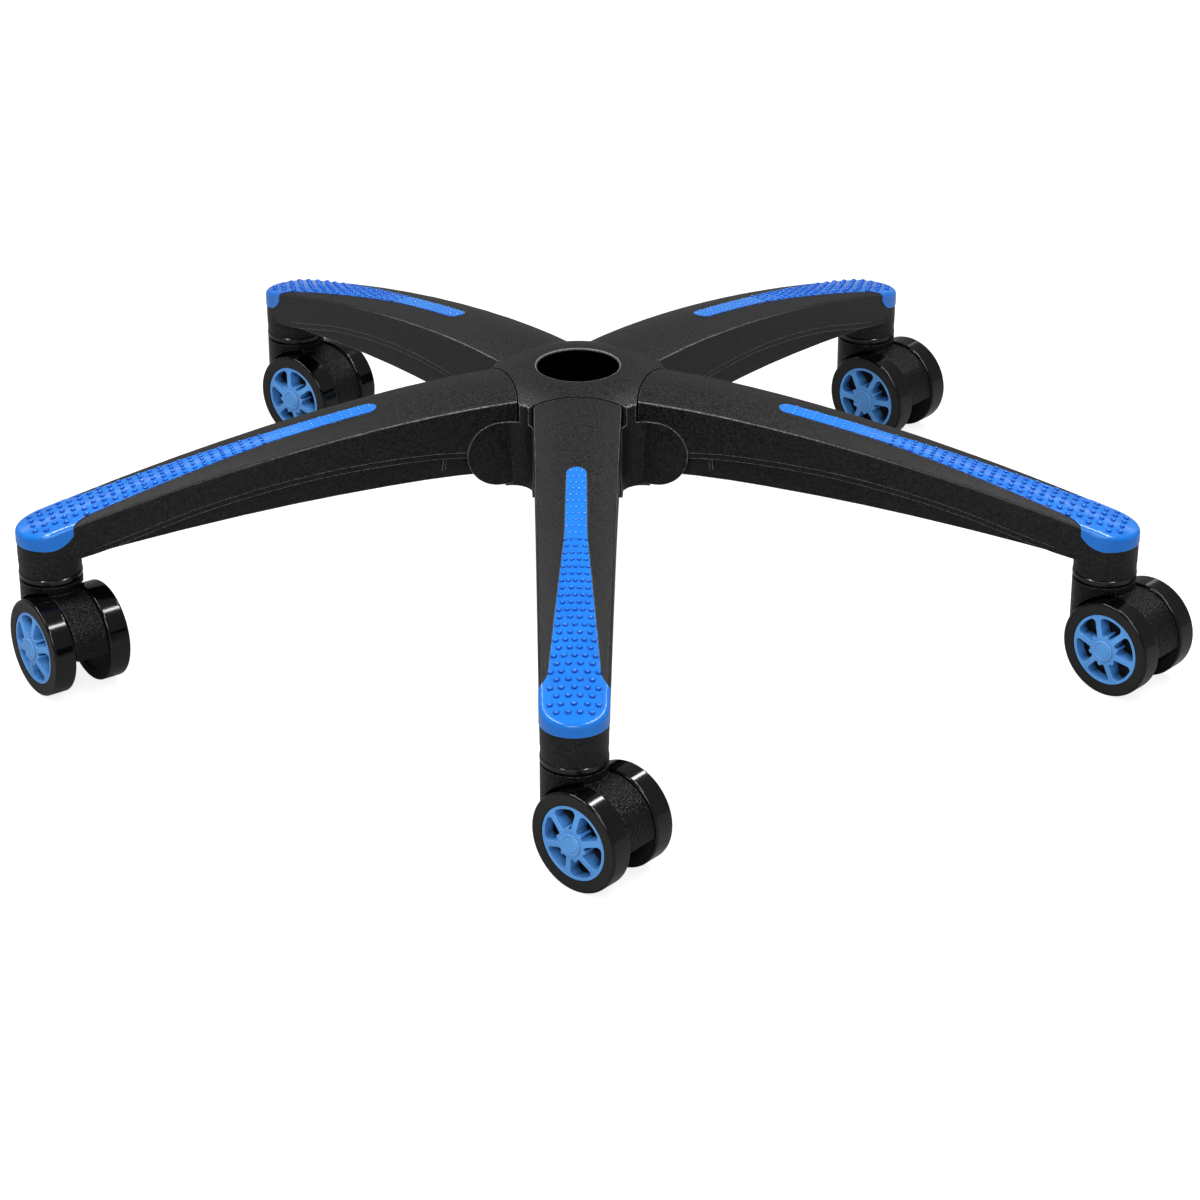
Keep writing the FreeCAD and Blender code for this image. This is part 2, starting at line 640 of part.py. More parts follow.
def circle_at(sketch, x, radius):
    index = sketch.addGeometry(Part.Circle(Vector(value(x), 0, 0), Vector(0, 0, 1), value(radius)), False)
    bind(sketch, "radius%d" % index, radius, "Radius", index)
    bind(sketch, "x%d" % index, x, "DistanceX", -1, 1, index, 3)
    sketch.addConstraint(Sketcher.Constraint("PointOnObject", index, 3, -1))


def peg_share():
    return "((%s - Sizes.root_reach) / (Sizes.swivel_radius - Sizes.root_reach))" % peg_reach()


def peg_reach():
    return "(Sizes.swivel_radius - Sizes.peg_setback)"


def peg_boss_floor():
    """Underside of the boss that takes an insert's peg."""
    return "(%s - Sizes.peg_boss_drop)" % skirt_at(value(peg_share()))


def make_leg():
    """One leg along +X with its tongues, ribs, boss, stem socket and insert seat."""
    body = new_body("leg")
    start = "(Sizes.bore_radius + Sizes.tube_wall / 2)"
    leg_loft(body, "Shell", "0", "0", lambda share: "(%s + Sizes.lip_height)" % skirt_at(share),
             start=start, rounded=True)
    leg_loft(body, "Lip", cell("lip_step"), "(3 * Sizes.wall)", skirt_at, start=start)
    doc.recompute()
    combine(body, "HubSeam", "Cut", seam_tool(start))
    doc.recompute()
    combine(body, "Tongues", "Fuse", tongue_form())
    inside = [s for s in LEG_STATIONS if s <= HOLLOW_END] + [CHANNEL_END]
    hollow = [s for s in LEG_STATIONS if TONGUE_STATIONS[-1] <= s <= HOLLOW_END] + [HOLLOW_END]
    leg_loft(body, "Hollow", cell("wall"), cell("wall"), lambda share: "0",
             start="(Sizes.tongue_reach + Sizes.wall)", stations=hollow, subtractive=True)
    leg_loft(body, "InnerWalls", cell("channel_setback"), "(Sizes.wall / 2)", channel_at,
             start=start, stations=inside)
    channel = "(Sizes.channel_setback + Sizes.channel_wall)"
    leg_loft(body, "Channel", channel, cell("wall"), lambda share: "0",
             start=start, stations=inside, subtractive=True)
    for number, share in enumerate(CROSS_RIBS):
        cross_rib(body, number, share)
    gusset(body, "Gusset", CROSS_RIBS[0])
    leg_plan_trim(body, "RoundEnd", "0")

    boss = new_sketch(body, "BossPlan", "XY_Plane", cell("boss_foot"))
    circle_at(boss, cell("swivel_radius"), "(Sizes.boss_radius - Sizes.boss_step)")
    boss_top = "((Sizes.cap_skirt + Sizes.cap_shoulder) / 2)"
    pad(body, "Boss", boss, "(%s - Sizes.boss_foot)" % boss_top)
    foot = new_sketch(body, "BossFootPlan", "XY_Plane")
    circle_at(foot, cell("swivel_radius"), "(Sizes.boss_radius - 3 * Sizes.boss_step)")
    pad(body, "BossFoot", foot, "(%s - 2 * Sizes.boss_foot / 3)" % boss_top)
    peg = new_sketch(body, "PegBossPlan", "XY_Plane", peg_boss_floor())
    circle_at(peg, peg_reach(), cell("peg_boss_radius"))
    pad(body, "PegBoss", peg, "(Sizes.skirt_depth + Sizes.peg_boss_drop)")
    doc.recompute()
    combine(body, "InsertSeat", "Cut", seat_tool())
    hole = new_sketch(body, "PegHolePlan", "XY_Plane")
    circle_at(hole, peg_reach(), "(Sizes.peg_radius + Sizes.insert_fit)")
    pocket(body, "PegHole", hole, backwards=True)
    socket = new_sketch(body, "SocketPlan", "XY_Plane")
    circle_at(socket, cell("swivel_radius"), "(Sizes.stem_radius + Sizes.stem_fit)")
    pocket(body, "StemSocket", socket, "(Sizes.stem_length + Sizes.socket_spare)", backwards=True)
    doc.recompute()
    around(body, "FiveLegs", [], LEGS, whole=True)
    return body


def ring_of(angle, reach):
    """A point's coordinates as expressions, at a bearing and a reach."""
    x = "(%s * cos(%g deg))" % (reach, angle)
    y = "(%s * sin(%g deg))" % (reach, angle)
    return x, y


def hub_plan(sketch):
    """The hub's outline: a concave web between every two legs."""
    between = 180.0 / LEGS
    sine = math.sin(math.radians(between))
    half = "(Sizes.leg_width_root / 2 + Sizes.tongue_proud - Sizes.web_blend)"
    fillet = "((Sizes.web_reach * %.9f - %s) / (1 - %.9f))" % (sine, half, sine)
    centre_reach = "(Sizes.web_reach + %s)" % fillet
    along = "(%s * %.9f)" % (centre_reach, math.cos(math.radians(between)))
    corners = []
    bulges = {}
    for leg in range(LEGS):
        bearing = 360.0 / LEGS * leg
        for side in (-1, 1):
            x = "(%s * cos(%g deg) - %g * %s * sin(%g deg))" % (along, bearing, side, half, bearing)
            y = "(%s * sin(%g deg) + %g * %s * cos(%g deg))" % (along, bearing, side, half, bearing)
            corners.append((x, y))
        cx, cy = ring_of(bearing + between, centre_reach)
        bulges[2 * leg + 1] = (cx, cy, -1)
    draw_outline(sketch, corners, bulges)


def rim_reach():
    return "(Sizes.bore_radius + Sizes.bore_chamfer)"


def dome_at(reach):
    """Height of the hub's top at a reach from its axis."""
    run = "(%s - %s)" % (reach, rim_reach())
    return "(Sizes.rim_height - Sizes.dome_radius + sqrt(Sizes.dome_radius ^ 2 - %s ^ 2))" % run


def make_star():
    """The moulded star: hub and five legs in one piece."""
    body = new_body("star_base")
    plan = new_sketch(body, "HubPlan", "XY_Plane", cell("hub_floor"))
    hub_plan(plan)
    pad(body, "Hub", plan, "(Sizes.rim_height - Sizes.hub_floor + %g)" % (CLEAR / 2))
    doc.recompute()

    dome = new_sketch(body, "DomeProfile", "XZ_Plane")
    out_x = "(Sizes.web_reach + %g)" % CLEAR
    over = "(Sizes.rim_height + %g)" % CLEAR
    corners = (
        ("0", cell("rim_height")),
        (rim_reach(), cell("rim_height")),
        (out_x, dome_at(out_x)),
        (out_x, over),
        ("0", over),
    )
    draw_outline(dome, corners, {1: (rim_reach(), "(Sizes.rim_height - Sizes.dome_radius)", -1)})
    turn_profile(body, "Dome", dome, subtractive=True)

    edges = []
    for number, edge in enumerate(body.Shape.Edges, start=1):
        middle = edge.valueAt((edge.FirstParameter + edge.LastParameter) / 2)
        reach = math.hypot(middle.x, middle.y)
        if abs(reach - size("web_reach")) < EDGE_REACH and middle.z > value(tongue_top()):
            edges.append("Edge%d" % number)
    domed = body.Tip
    rounding = body.newObject("PartDesign::Fillet", "WebEdges")
    rounding.Base = (domed, edges)
    rounding.setExpression("Radius", cell("web_edge"))
    body.Tip = rounding

    cuts = []
    for name, sign in (("LeftWebEnd", ""), ("RightWebEnd", "-")):
        near = sign + "(Sizes.leg_width_root / 2 - Sizes.wall / 2)"
        away = sign + "(Sizes.leg_width_root / 2 + %g)" % (CLEAR / 2)
        ends = new_sketch(body, name + "Plan", "XY_Plane", tongue_top())
        web_end = cell("web_end")
        draw_outline(ends, ((web_end, near), (out_x, near), (out_x, away), (web_end, away)))
        cuts.append(pocket(body, name, ends, backwards=True))
    around(body, "WebEnds", cuts, LEGS)
    doc.recompute()

    combine(body, "Legs", "Fuse", make_leg())

    core = new_sketch(body, "CorePlan", "XY_Plane", cell("hub_floor"))
    tube = "(Sizes.bore_radius + Sizes.tube_wall)"
    half = "(Sizes.leg_width_root / 2 - Sizes.channel_setback - Sizes.channel_wall)"
    near_x = "(sqrt(%s ^ 2 - %s ^ 2))" % (tube, half)
    far_x = "(Sizes.web_reach + Sizes.wall)"
    corners = ((near_x, "-" + half), (far_x, "-" + half), (far_x, half), (near_x, half))
    draw_outline(core, corners, {3: ("0", "0", -1)})
    depth = "(%s - Sizes.hub_floor - Sizes.hub_top_wall)" % dome_at(cell("web_reach"))
    coring = pocket(body, "Core", core, depth, backwards=True)
    around(body, "Cores", [coring], LEGS)

    bore = new_sketch(body, "BoreProfile", "XZ_Plane")
    land_y = "(Sizes.rim_height - Sizes.bore_chamfer - Sizes.bore_land)"
    low_x = "(Sizes.bore_radius - %s * tan(Sizes.bore_taper * 1 deg))" % land_y
    corners = (
        ("0", over),
        (rim_reach(), over),
        (rim_reach(), cell("rim_height")),
        (cell("bore_radius"), "(Sizes.rim_height - Sizes.bore_chamfer)"),
        (cell("bore_radius"), land_y),
        (low_x, "0"),
        ("0", "0"),
    )
    draw_outline(bore, corners)
    turn_profile(body, "Bore", bore, subtractive=True)
    return body


def upward(face):
    """Upward part of a face's normal at its middle."""
    low_u, high_u, low_v, high_v = face.ParameterRange
    return face.normalAt((low_u + high_u) / 2, (low_v + high_v) / 2).z


def round_crest(body, name, radius):
    """Round the edges of a leg's form between its top and its sides and round end."""
    doc.recompute()
    crest = max(body.Shape.Faces, key=upward)
    sides = [edge for edge in crest.Edges if edge.BoundBox.XLength > EDGE_REACH]
    edges = []
    for number, edge in enumerate(body.Shape.Edges, start=1):
        if any(edge.isSame(side) for side in sides):
            edges.append("Edge%d" % number)
    sharp = body.Tip
    rounding = body.newObject("PartDesign::Fillet", name)
    rounding.Base = (sharp, edges)
    rounding.setExpression("Radius", radius)
    body.Tip = rounding


def make_insert(label):
    """A snap-in insert: a strip along the leg's crest that ends in a cap over its tip."""
    body = new_body(label)
    proud = "-Sizes.insert_proud"
    leg_loft(body, "InsertSkin", proud, proud, lambda share: "(Sizes.cap_skirt / 2)",
             stations=STRIP_STATIONS)
    leg_plan_trim(body, "InsertEnd", cell("insert_proud"))
    round_crest(body, "InsertEdge", cell("insert_edge"))
    doc.recompute()
    combine(body, "InsertUnderside", "Cut", insert_core("insert_core", cell("insert_depth")))
    doc.recompute()
    plan = new_body("insert_outline")
    outline = insert_plan(plan, "InsertPlan", "0")
    pad(plan, "InsertPrism", outline, "(Sizes.root_height + %g)" % CLEAR)
    doc.recompute()
    combine(body, "InsertShape", "Common", plan)
    pocket(body, "CapEdge", below_cap(body, "CapSide", "0"), both_ways=True)
    peg_floor = "(%s + Sizes.peg_depth)" % peg_boss_floor()
    peg = new_sketch(body, "PegPlan", "XY_Plane", peg_floor)
    circle_at(peg, peg_reach(), cell("peg_radius"))
    strip = "(%s - Sizes.insert_depth / 2)" % crest_at(value(peg_share()))
    pad(body, "Peg", peg, "(%s - %s)" % (strip, peg_floor))
    return body


# The caster


def neck_top():
    return "(2 * Sizes.wheel_radius + Sizes.neck_rise)"


def side_circle(body, name, x, y, radius, offset=None):
    """A circle in a caster's side view."""
    sketch = new_sketch(body, name, "XZ_Plane", offset)
    circle = Part.Circle(Vector(value(x), value(y), 0), Vector(0, 0, 1), value(radius))
    index = sketch.addGeometry(circle, False)
    bind(sketch, "radius", radius, "Radius", index)
    bind(sketch, "x", x, "DistanceX", -1, 1, index, 3)
    bind(sketch, "y", y, "DistanceY", -1, 1, index, 3)
    return sketch


def fin_outline(sketch):
    """Side view of the plate between the wheels, from the neck to the axle."""
    mid = "(Sizes.hood_radius - Sizes.hood_wall / 2)"
    neck_x = "(Sizes.collar_radius - Sizes.hood_wall / 2)"
    front_x = "(Sizes.trail + Sizes.fin_radius)"
    front_y = "(Sizes.wheel_radius + sqrt(%s ^ 2 - Sizes.fin_radius ^ 2))" % mid
    hood_y = "(Sizes.wheel_radius + sqrt(%s ^ 2 - (%s - Sizes.trail) ^ 2))" % (mid, neck_x)
    top = "(%s - Sizes.hood_wall)" % neck_top()
    corners = (
        (cell("trail"), "(Sizes.wheel_radius - Sizes.fin_radius)"),
        (front_x, cell("wheel_radius")),
        (front_x, front_y),
        (neck_x, hood_y),
        (neck_x, top),
        ("-" + neck_x, top),
        ("-" + neck_x, "(Sizes.neck_floor + Sizes.hood_wall / 2)"),
    )
    axle = (cell("trail"), cell("wheel_radius"))
    draw_outline(sketch, corners, {0: (*axle, 1), 2: (*axle, 1)})


def make_housing(label):
    """The moulded housing: neck, hood between the wheels and the plate inside it."""
    body = new_body(label)
    neck = new_sketch(body, "NeckPlan", "XY_Plane", cell("neck_floor"))
    circle_at(neck, "0", cell("collar_radius"))
    pad(body, "Neck", neck, "(%s - Sizes.neck_floor)" % neck_top())
    inside = new_sketch(body, "NeckCorePlan", "XY_Plane", cell("neck_floor"))
    circle_at(inside, "0", "(Sizes.collar_radius - Sizes.hood_wall)")
    pocket(body, "NeckCore", inside, "(%s - Sizes.neck_floor - 2 * Sizes.hood_wall)" % neck_top(),
           backwards=True)

    well = "(Sizes.wheel_radius + Sizes.wheel_well)"
    for name, side in (("NearWell", 1), ("FarWell", -1)):
        offset = "(%d * Sizes.hood_width / 2)" % side
        sketch = side_circle(body, name + "Side", cell("trail"), cell("wheel_radius"), well, offset)
        pocket(body, name, sketch, backwards=side > 0)

    hood = new_sketch(body, "HoodSide", "XZ_Plane")
    inner = "(Sizes.hood_radius - Sizes.hood_wall)"
    tip = []
    top = []
    for radius in (cell("hood_radius"), inner):
        tip_x = "(Sizes.trail + %s * cos(Sizes.hood_end * 1 deg))" % radius
        tip_y = "(Sizes.wheel_radius + %s * sin(Sizes.hood_end * 1 deg))" % radius
        tip.append((tip_x, tip_y))
        top.append(("0", "(Sizes.wheel_radius + sqrt(%s ^ 2 - Sizes.trail ^ 2))" % radius))
    axle = (cell("trail"), cell("wheel_radius"))
    draw_outline(hood, (tip[0], top[0], top[1], tip[1]), {0: (*axle, 1), 2: (*axle, -1)})
    pad(body, "Hood", hood, cell("hood_width"), both_ways=True)

    fin = new_sketch(body, "FinSide", "XZ_Plane")
    fin_outline(fin)
    pad(body, "Fin", fin, cell("fin_width"), both_ways=True)
    boss = side_circle(body, "AxleBossSide", cell("trail"), cell("wheel_radius"), cell("axle_boss_radius"))
    pad(body, "AxleBoss", boss, cell("hood_width"), both_ways=True)
    socket_floor = "(%s - Sizes.stem_seat - Sizes.hood_wall)" % neck_top()
    socket = new_sketch(body, "StemBossPlan", "XY_Plane", socket_floor)
    circle_at(socket, "0", cell("socket_radius"))
    pad(body, "StemBoss", socket, "(Sizes.stem_seat)")

    axle_hole = side_circle(body, "AxleHoleSide", cell("trail"), cell("wheel_radius"),
                            "(Sizes.axle_radius + Sizes.axle_grip)")
    pocket(body, "AxleHole", axle_hole, both_ways=True)
    stem_hole = new_sketch(body, "StemHolePlan", "XY_Plane", neck_top())
    circle_at(stem_hole, "0", "(Sizes.stem_radius + Sizes.stem_grip)")
    pocket(body, "StemHole", stem_hole, cell("stem_seat"))
    return body


def lathe(label, corners, bulges=None):
    """A turned piece from a half profile beside the Z axis."""
    body = new_body(label)
    profile = new_sketch(body, label + "_profile", "XZ_Plane")
    draw_outline(profile, corners, bulges)
    turn_profile(body, label + "_turned", profile)
    return body


def stem_top():
    return "(%s + Sizes.cap_ring_height + Sizes.swivel_gap + Sizes.stem_length)" % neck_top()


def groove_floor():
    return "(%s - Sizes.grip_setback - Sizes.grip_width)" % stem_top()


def make_stem(label):
    """Steel stem with the flange that rests on the neck and the grip ring's groove."""
    groove_radius = "(Sizes.stem_radius + Sizes.grip_proud - Sizes.grip_wall - Sizes.grip_fit)"
    corners = (
        ("0", "(%s - Sizes.stem_seat)" % neck_top()),
        (cell("stem_radius"), "(%s - Sizes.stem_seat)" % neck_top()),
        (cell("stem_radius"), neck_top()),
        (cell("flange_radius"), neck_top()),
        (cell("flange_radius"), "(%s + Sizes.flange_height)" % neck_top()),
        (cell("stem_radius"), "(%s + Sizes.flange_height)" % neck_top()),
        (cell("stem_radius"), groove_floor()),
        (groove_radius, groove_floor()),
        (groove_radius, "(%s + Sizes.grip_width)" % groove_floor()),
        (cell("stem_radius"), "(%s + Sizes.grip_width)" % groove_floor()),
        (cell("stem_radius"), "(%s - Sizes.stem_chamfer)" % stem_top()),
        ("(Sizes.stem_radius - Sizes.stem_chamfer)", stem_top()),
        ("0", stem_top()),
    )
    return lathe(label, corners)


def make_grip_ring(label):
    """Split spring ring in the stem's groove."""
    inner = "(Sizes.stem_radius + Sizes.grip_proud - Sizes.grip_wall)"
    outer = "(Sizes.stem_radius + Sizes.grip_proud)"
    low = "(%s + Sizes.grip_proud)" % groove_floor()
    high = "(%s + Sizes.grip_width - Sizes.grip_proud)" % groove_floor()
    body = lathe(label, ((inner, low), (outer, low), (outer, high), (inner, high)))
    slot = new_sketch(body, "GripSlotPlan", "XY_Plane", low)
    corners = (
        ("0", "(-Sizes.grip_slot / 2)"),
        (cell("flange_radius"), "(-Sizes.grip_slot / 2)"),
        (cell("flange_radius"), "(Sizes.grip_slot / 2)"),
        ("0", "(Sizes.grip_slot / 2)"),
    )
    draw_outline(slot, corners)
    pocket(body, "GripSlot", slot, backwards=True)
    return body


def make_swivel_cap(label):
    """Glossy ring between the housing and the leg, over the stem's flange."""
    low = neck_top()
    foot_top = "(%s + Sizes.cap_ring_neck)" % low
    high = "(%s + Sizes.cap_ring_height)" % low
    hole = "(Sizes.stem_radius + Sizes.stem_fit)"
    recess = "(Sizes.flange_radius + Sizes.stem_fit)"
    recess_top = "(%s + Sizes.flange_height + Sizes.stem_fit)" % low
    foot = "(Sizes.boss_radius - Sizes.cap_ring_step)"
    edge = "(Sizes.boss_radius - Sizes.cap_ring_edge)"
    corners = (
        (recess, low),
        (foot, low),
        (foot, foot_top),
        (edge, foot_top),
        (cell("boss_radius"), "(%s + Sizes.cap_ring_edge)" % foot_top),
        (cell("boss_radius"), "(%s - Sizes.cap_ring_edge)" % high),
        (edge, high),
        (hole, high),
        (hole, recess_top),
        (recess, recess_top),
    )
    return lathe(label, corners)


def make_axle(label):
    """Steel axle with chamfered ends."""
    body = new_body(label)
    half = "(Sizes.hood_width / 2 + Sizes.wheel_gap + Sizes.barrel_length - Sizes.axle_short)"
    side = side_circle(body, "AxleSide", cell("trail"), cell("wheel_radius"), cell("axle_radius"))
    rod = pad(body, "Rod", side, "(2 * %s)" % half, both_ways=True)
    doc.recompute()
    ends = ["Face%d" % (number + 1) for number, face in enumerate(body.Shape.Faces)
            if isinstance(face.Surface, Part.Plane)]
    edges = body.newObject("PartDesign::Chamfer", "AxleEnds")
    edges.Base = (rod, ends)
    edges.setExpression("Size", cell("axle_chamfer"))
    body.Tip = edges
    return body


def make_wheel(label):
    """A wheel and its moulded-on tread; Z = 0 at its inner face, +Z outwards."""
    tread = cell("wheel_radius")
    turn = "(Sizes.wheel_radius - Sizes.tyre_shoulder)"
    width = cell("wheel_width")
    seat = "(Sizes.core_radius + Sizes.core_fit)"
    ledge = "(Sizes.wheel_width - Sizes.core_recess - Sizes.core_depth)"
    ledge_x = "(Sizes.core_radius - Sizes.core_rim)"
    disc_in = cell("disc_recess")
    disc_out = "(Sizes.disc_recess + Sizes.disc_wall)"
    hole = "(Sizes.axle_radius + Sizes.axle_fit)"
    barrel = cell("barrel_radius")
    inner_rim = "(Sizes.core_radius + Sizes.disc_margin)"
    ring = cell("disc_ring")
    ring_out = "(Sizes.disc_ring + Sizes.disc_ring_width)"
    ring_top = "(Sizes.disc_recess - Sizes.disc_ring_height)"
    corners = (
        (hole, "0"),
        (barrel, "0"),
        (barrel, disc_in),
        (ring, disc_in),
        (ring, ring_top),
        (ring_out, ring_top),
        (ring_out, disc_in),
        (inner_rim, disc_in),
        (inner_rim, "0"),
        (turn, "0"),
        (tread, cell("tyre_shoulder")),
        (tread, "(Sizes.wheel_width - Sizes.tyre_shoulder)"),
        (turn, width),
        (seat, width),
        (seat, ledge),
        (ledge_x, ledge),
        (ledge_x, disc_out),
        (barrel, disc_out),
        (barrel, cell("barrel_length")),
        (hole, cell("barrel_length")),
    )
    low = (turn, cell("tyre_shoulder"), 1)
    high = (turn, "(Sizes.wheel_width - Sizes.tyre_shoulder)", 1)
    return lathe(label, corners, {9: low, 11: high})


def window_outline(sketch):
    """A wheel cover's window: a sector between two spokes with rounded corners."""
    half_step = 180.0 / size("spokes")
    big = value("(Sizes.core_radius - Sizes.core_rim)")
    small = size("nave_radius")
    gap = size("spoke_width") / 2
    outer = size("window_rim_corner")
    inner = size("window_nave_corner")
    points = {}
    for sign in (-1, 1):
        along = Vector(math.cos(math.radians(half_step)), sign * math.sin(math.radians(half_step)), 0)
        off = Vector(math.sin(math.radians(half_step)), -sign * math.cos(math.radians(half_step)), 0)
        out_t = math.sqrt((big - outer) ** 2 - (gap + outer) ** 2)
        in_t = math.sqrt((small + inner) ** 2 - (gap + inner) ** 2)
        out_centre = along * out_t + off * (gap + outer)
        in_centre = along * in_t + off * (gap + inner)
        points[sign] = {
            "out_centre": out_centre,
            "in_centre": in_centre,
            "out_rim": out_centre * (big / (big - outer)),
            "out_side": along * out_t + off * gap,
            "in_side": along * in_t + off * gap,
            "in_nave": in_centre * (small / (small + inner)),
        }

    def arc(centre, radius, start, end):
        first = math.atan2(start.y - centre.y, start.x - centre.x)
        last = math.atan2(end.y - centre.y, end.x - centre.x)
        if last <= first:
            last += 2 * math.pi
        circle = Part.Circle(centre, Vector(0, 0, 1), radius)
        sketch.addGeometry(Part.ArcOfCircle(circle, first, last), False)

    low = points[-1]
    high = points[1]
    origin = Vector(0, 0, 0)
    arc(origin, big, low["out_rim"], high["out_rim"])
    arc(high["out_centre"], outer, high["out_rim"], high["out_side"])
    sketch.addGeometry(Part.LineSegment(high["out_side"], high["in_side"]), False)
    arc(high["in_centre"], inner, high["in_side"], high["in_nave"])
    arc(origin, small, low["in_nave"], high["in_nave"])
    arc(low["in_centre"], inner, low["in_nave"], low["in_side"])
    sketch.addGeometry(Part.LineSegment(low["in_side"], low["out_side"]), False)
    arc(low["out_centre"], outer, low["out_side"], low["out_rim"])
    joints = ((0, 2, 1, 1), (1, 2, 2, 1), (2, 2, 3, 1), (3, 2, 4, 2), (4, 1, 5, 1), (5, 2, 6, 1),
              (6, 2, 7, 1), (7, 2, 0, 1))
    for joint in joints:
        sketch.addConstraint(Sketcher.Constraint("Tangent", *joint))
    for ring in (0, 4):
        sketch.addConstraint(Sketcher.Constraint("Coincident", ring, 3, -1, 1))
    bind(sketch, "rim", "(Sizes.core_radius - Sizes.core_rim)", "Radius", 0)
    bind(sketch, "nave", cell("nave_radius"), "Radius", 4)
    for number in (1, 7):
        bind(sketch, "corner%d" % number, cell("window_rim_corner"), "Radius", number)
    for number in (3, 5):
        bind(sketch, "corner%d" % number, cell("window_nave_corner"), "Radius", number)
    for number in (2, 6):
        bind(sketch, "gap%d" % number, "(Sizes.spoke_width / 2)", "Distance", -1, 1, number)
    bind(sketch, "low_side", "(-180 / Sizes.spokes)", "Angle", 6)
    bind(sketch, "high_side", "(180 + 180 / Sizes.spokes)", "Angle", 2)


def make_cover(label):
    """The spoked cover that is pressed into a wheel; same frame as the wheel."""
    face = "(Sizes.wheel_width - Sizes.core_recess)"
    crown = "(%s + Sizes.core_dome)" % face
    back = "(%s - Sizes.core_depth)" % face
    ledge = "(Sizes.core_radius - Sizes.core_rim)"
    nave_y = "(%s - Sizes.nave_step)" % crown
    socket = "(Sizes.barrel_radius + Sizes.axle_fit)"
    floor = "(Sizes.barrel_length + Sizes.cover_gap)"
    groove = "(Sizes.nave_disc - Sizes.nave_groove_inset)"
    corners = (
        ("0", floor),
        (socket, floor),
        (socket, back),
        (cell("core_radius"), back),
        (cell("core_radius"), "(%s - Sizes.cover_edge)" % face),
        ("(Sizes.core_radius - Sizes.cover_edge)", face),
        (ledge, face),
        (cell("nave_radius"), nave_y),
        (cell("nave_disc"), nave_y),
        (cell("nave_disc"), "(%s - Sizes.nave_edge)" % crown),
        ("(Sizes.nave_disc - Sizes.nave_edge)", crown),
        (groove, crown),
        ("(%s - Sizes.nave_groove_width / 2)" % groove, "(%s - Sizes.nave_groove_depth)" % crown),
        ("(%s - Sizes.nave_groove_width)" % groove, crown),
        ("0", crown),
    )
    body = lathe(label, corners)
    window = new_sketch(body, "WindowPlan", "XY_Plane")
    window_outline(window)
    opening = pocket(body, "Window", window, backwards=True)
    around(body, "Windows", [opening], int(size("spokes")))
    rib = new_sketch(body, "NaveRibPlan", "XY_Plane", back)
    circle_at(rib, cell("nave_rib_reach"), cell("nave_rib"))
    ribs = pad(body, "NaveRib", rib, "(%s - %s)" % (nave_y, back))
    around(body, "NaveRibs", [ribs], int(size("spokes")))
    return body


def clone(label, master):
    """A body that repeats a master body's shape."""
    body = new_body(label)
    copy = body.newObject("PartDesign::FeatureBase", label + "_shape")
    copy.BaseFeature = master
    body.Tip = copy
    return body


doc.recompute()
nodes = []
masters = {}


def place(kind, name, maker, where):
    """Put one piece of a kind in its place, the first as a master and the rest as clones."""
    if kind in masters:
        body = clone(name, masters[kind])
    else:
        body = maker(name)
        masters[kind] = body
    body.Placement = where
    nodes.append(body)


up = Vector(0, 0, 1)
lift = "(%s + Sizes.cap_ring_height + Sizes.swivel_gap)" % neck_top()
star = make_star()
star.Placement = Placement(Vector(0, 0, value(lift)), Rotation(up, PLACES[0][1]))
nodes.append(star)
for name, bearing, trailing, near_turn, far_turn in PLACES:
    on_hub = Placement(Vector(0, 0, value(lift)), Rotation(up, bearing))
    place("insert", "insert_" + name, make_insert, on_hub)

inner_face = value("(Sizes.hood_width / 2 + Sizes.wheel_gap)")
for name, bearing, trailing, near_turn, far_turn in PLACES:
    on_floor = Placement(Vector(0, 0, 0), Rotation(up, bearing))
    on_floor = on_floor * Placement(Vector(size("swivel_radius"), 0, 0), Rotation(up, trailing - bearing))
    place("housing", "caster_housing_" + name, make_housing, on_floor)
    place("stem", "caster_stem_" + name, make_stem, on_floor)
    place("grip", "stem_grip_ring_" + name, make_grip_ring, on_floor)
    place("cap", "swivel_cap_" + name, make_swivel_cap, on_floor)
    place("axle", "caster_axle_" + name, make_axle, on_floor)
    for number, side, turn in ((1, -1, near_turn), (2, 1, far_turn)):
        axle_end = Placement(Vector(size("trail"), side * inner_face, size("wheel_radius")),
                             Rotation(Vector(1, 0, 0), -90 * side))
        where = on_floor * axle_end * Placement(Vector(0, 0, 0), Rotation(up, turn))
        place("wheel", "wheel_%s_%d" % (name, number), make_wheel, where)
        place("cover", "wheel_cover_%s_%d" % (name, number), make_cover, where)
doc.recompute()

for thing in doc.Objects:
    if "Invalid" in thing.State or "Error" in thing.State:
        raise RuntimeError("%s failed: %s" % (thing.Name, thing.State))
os.makedirs("parts", exist_ok=True)
for node in nodes:
    shape = node.Shape
    if shape.isNull() or not shape.isValid() or len(shape.Solids) != 1:
        raise RuntimeError(node.Label + " is not one valid solid")
    shape.exportStep("parts/%s.step" % node.Label)
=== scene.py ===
import json
import math

import bmesh
import bpy
from mathutils import Matrix, Vector
from mathutils.bvhtree import BVHTree


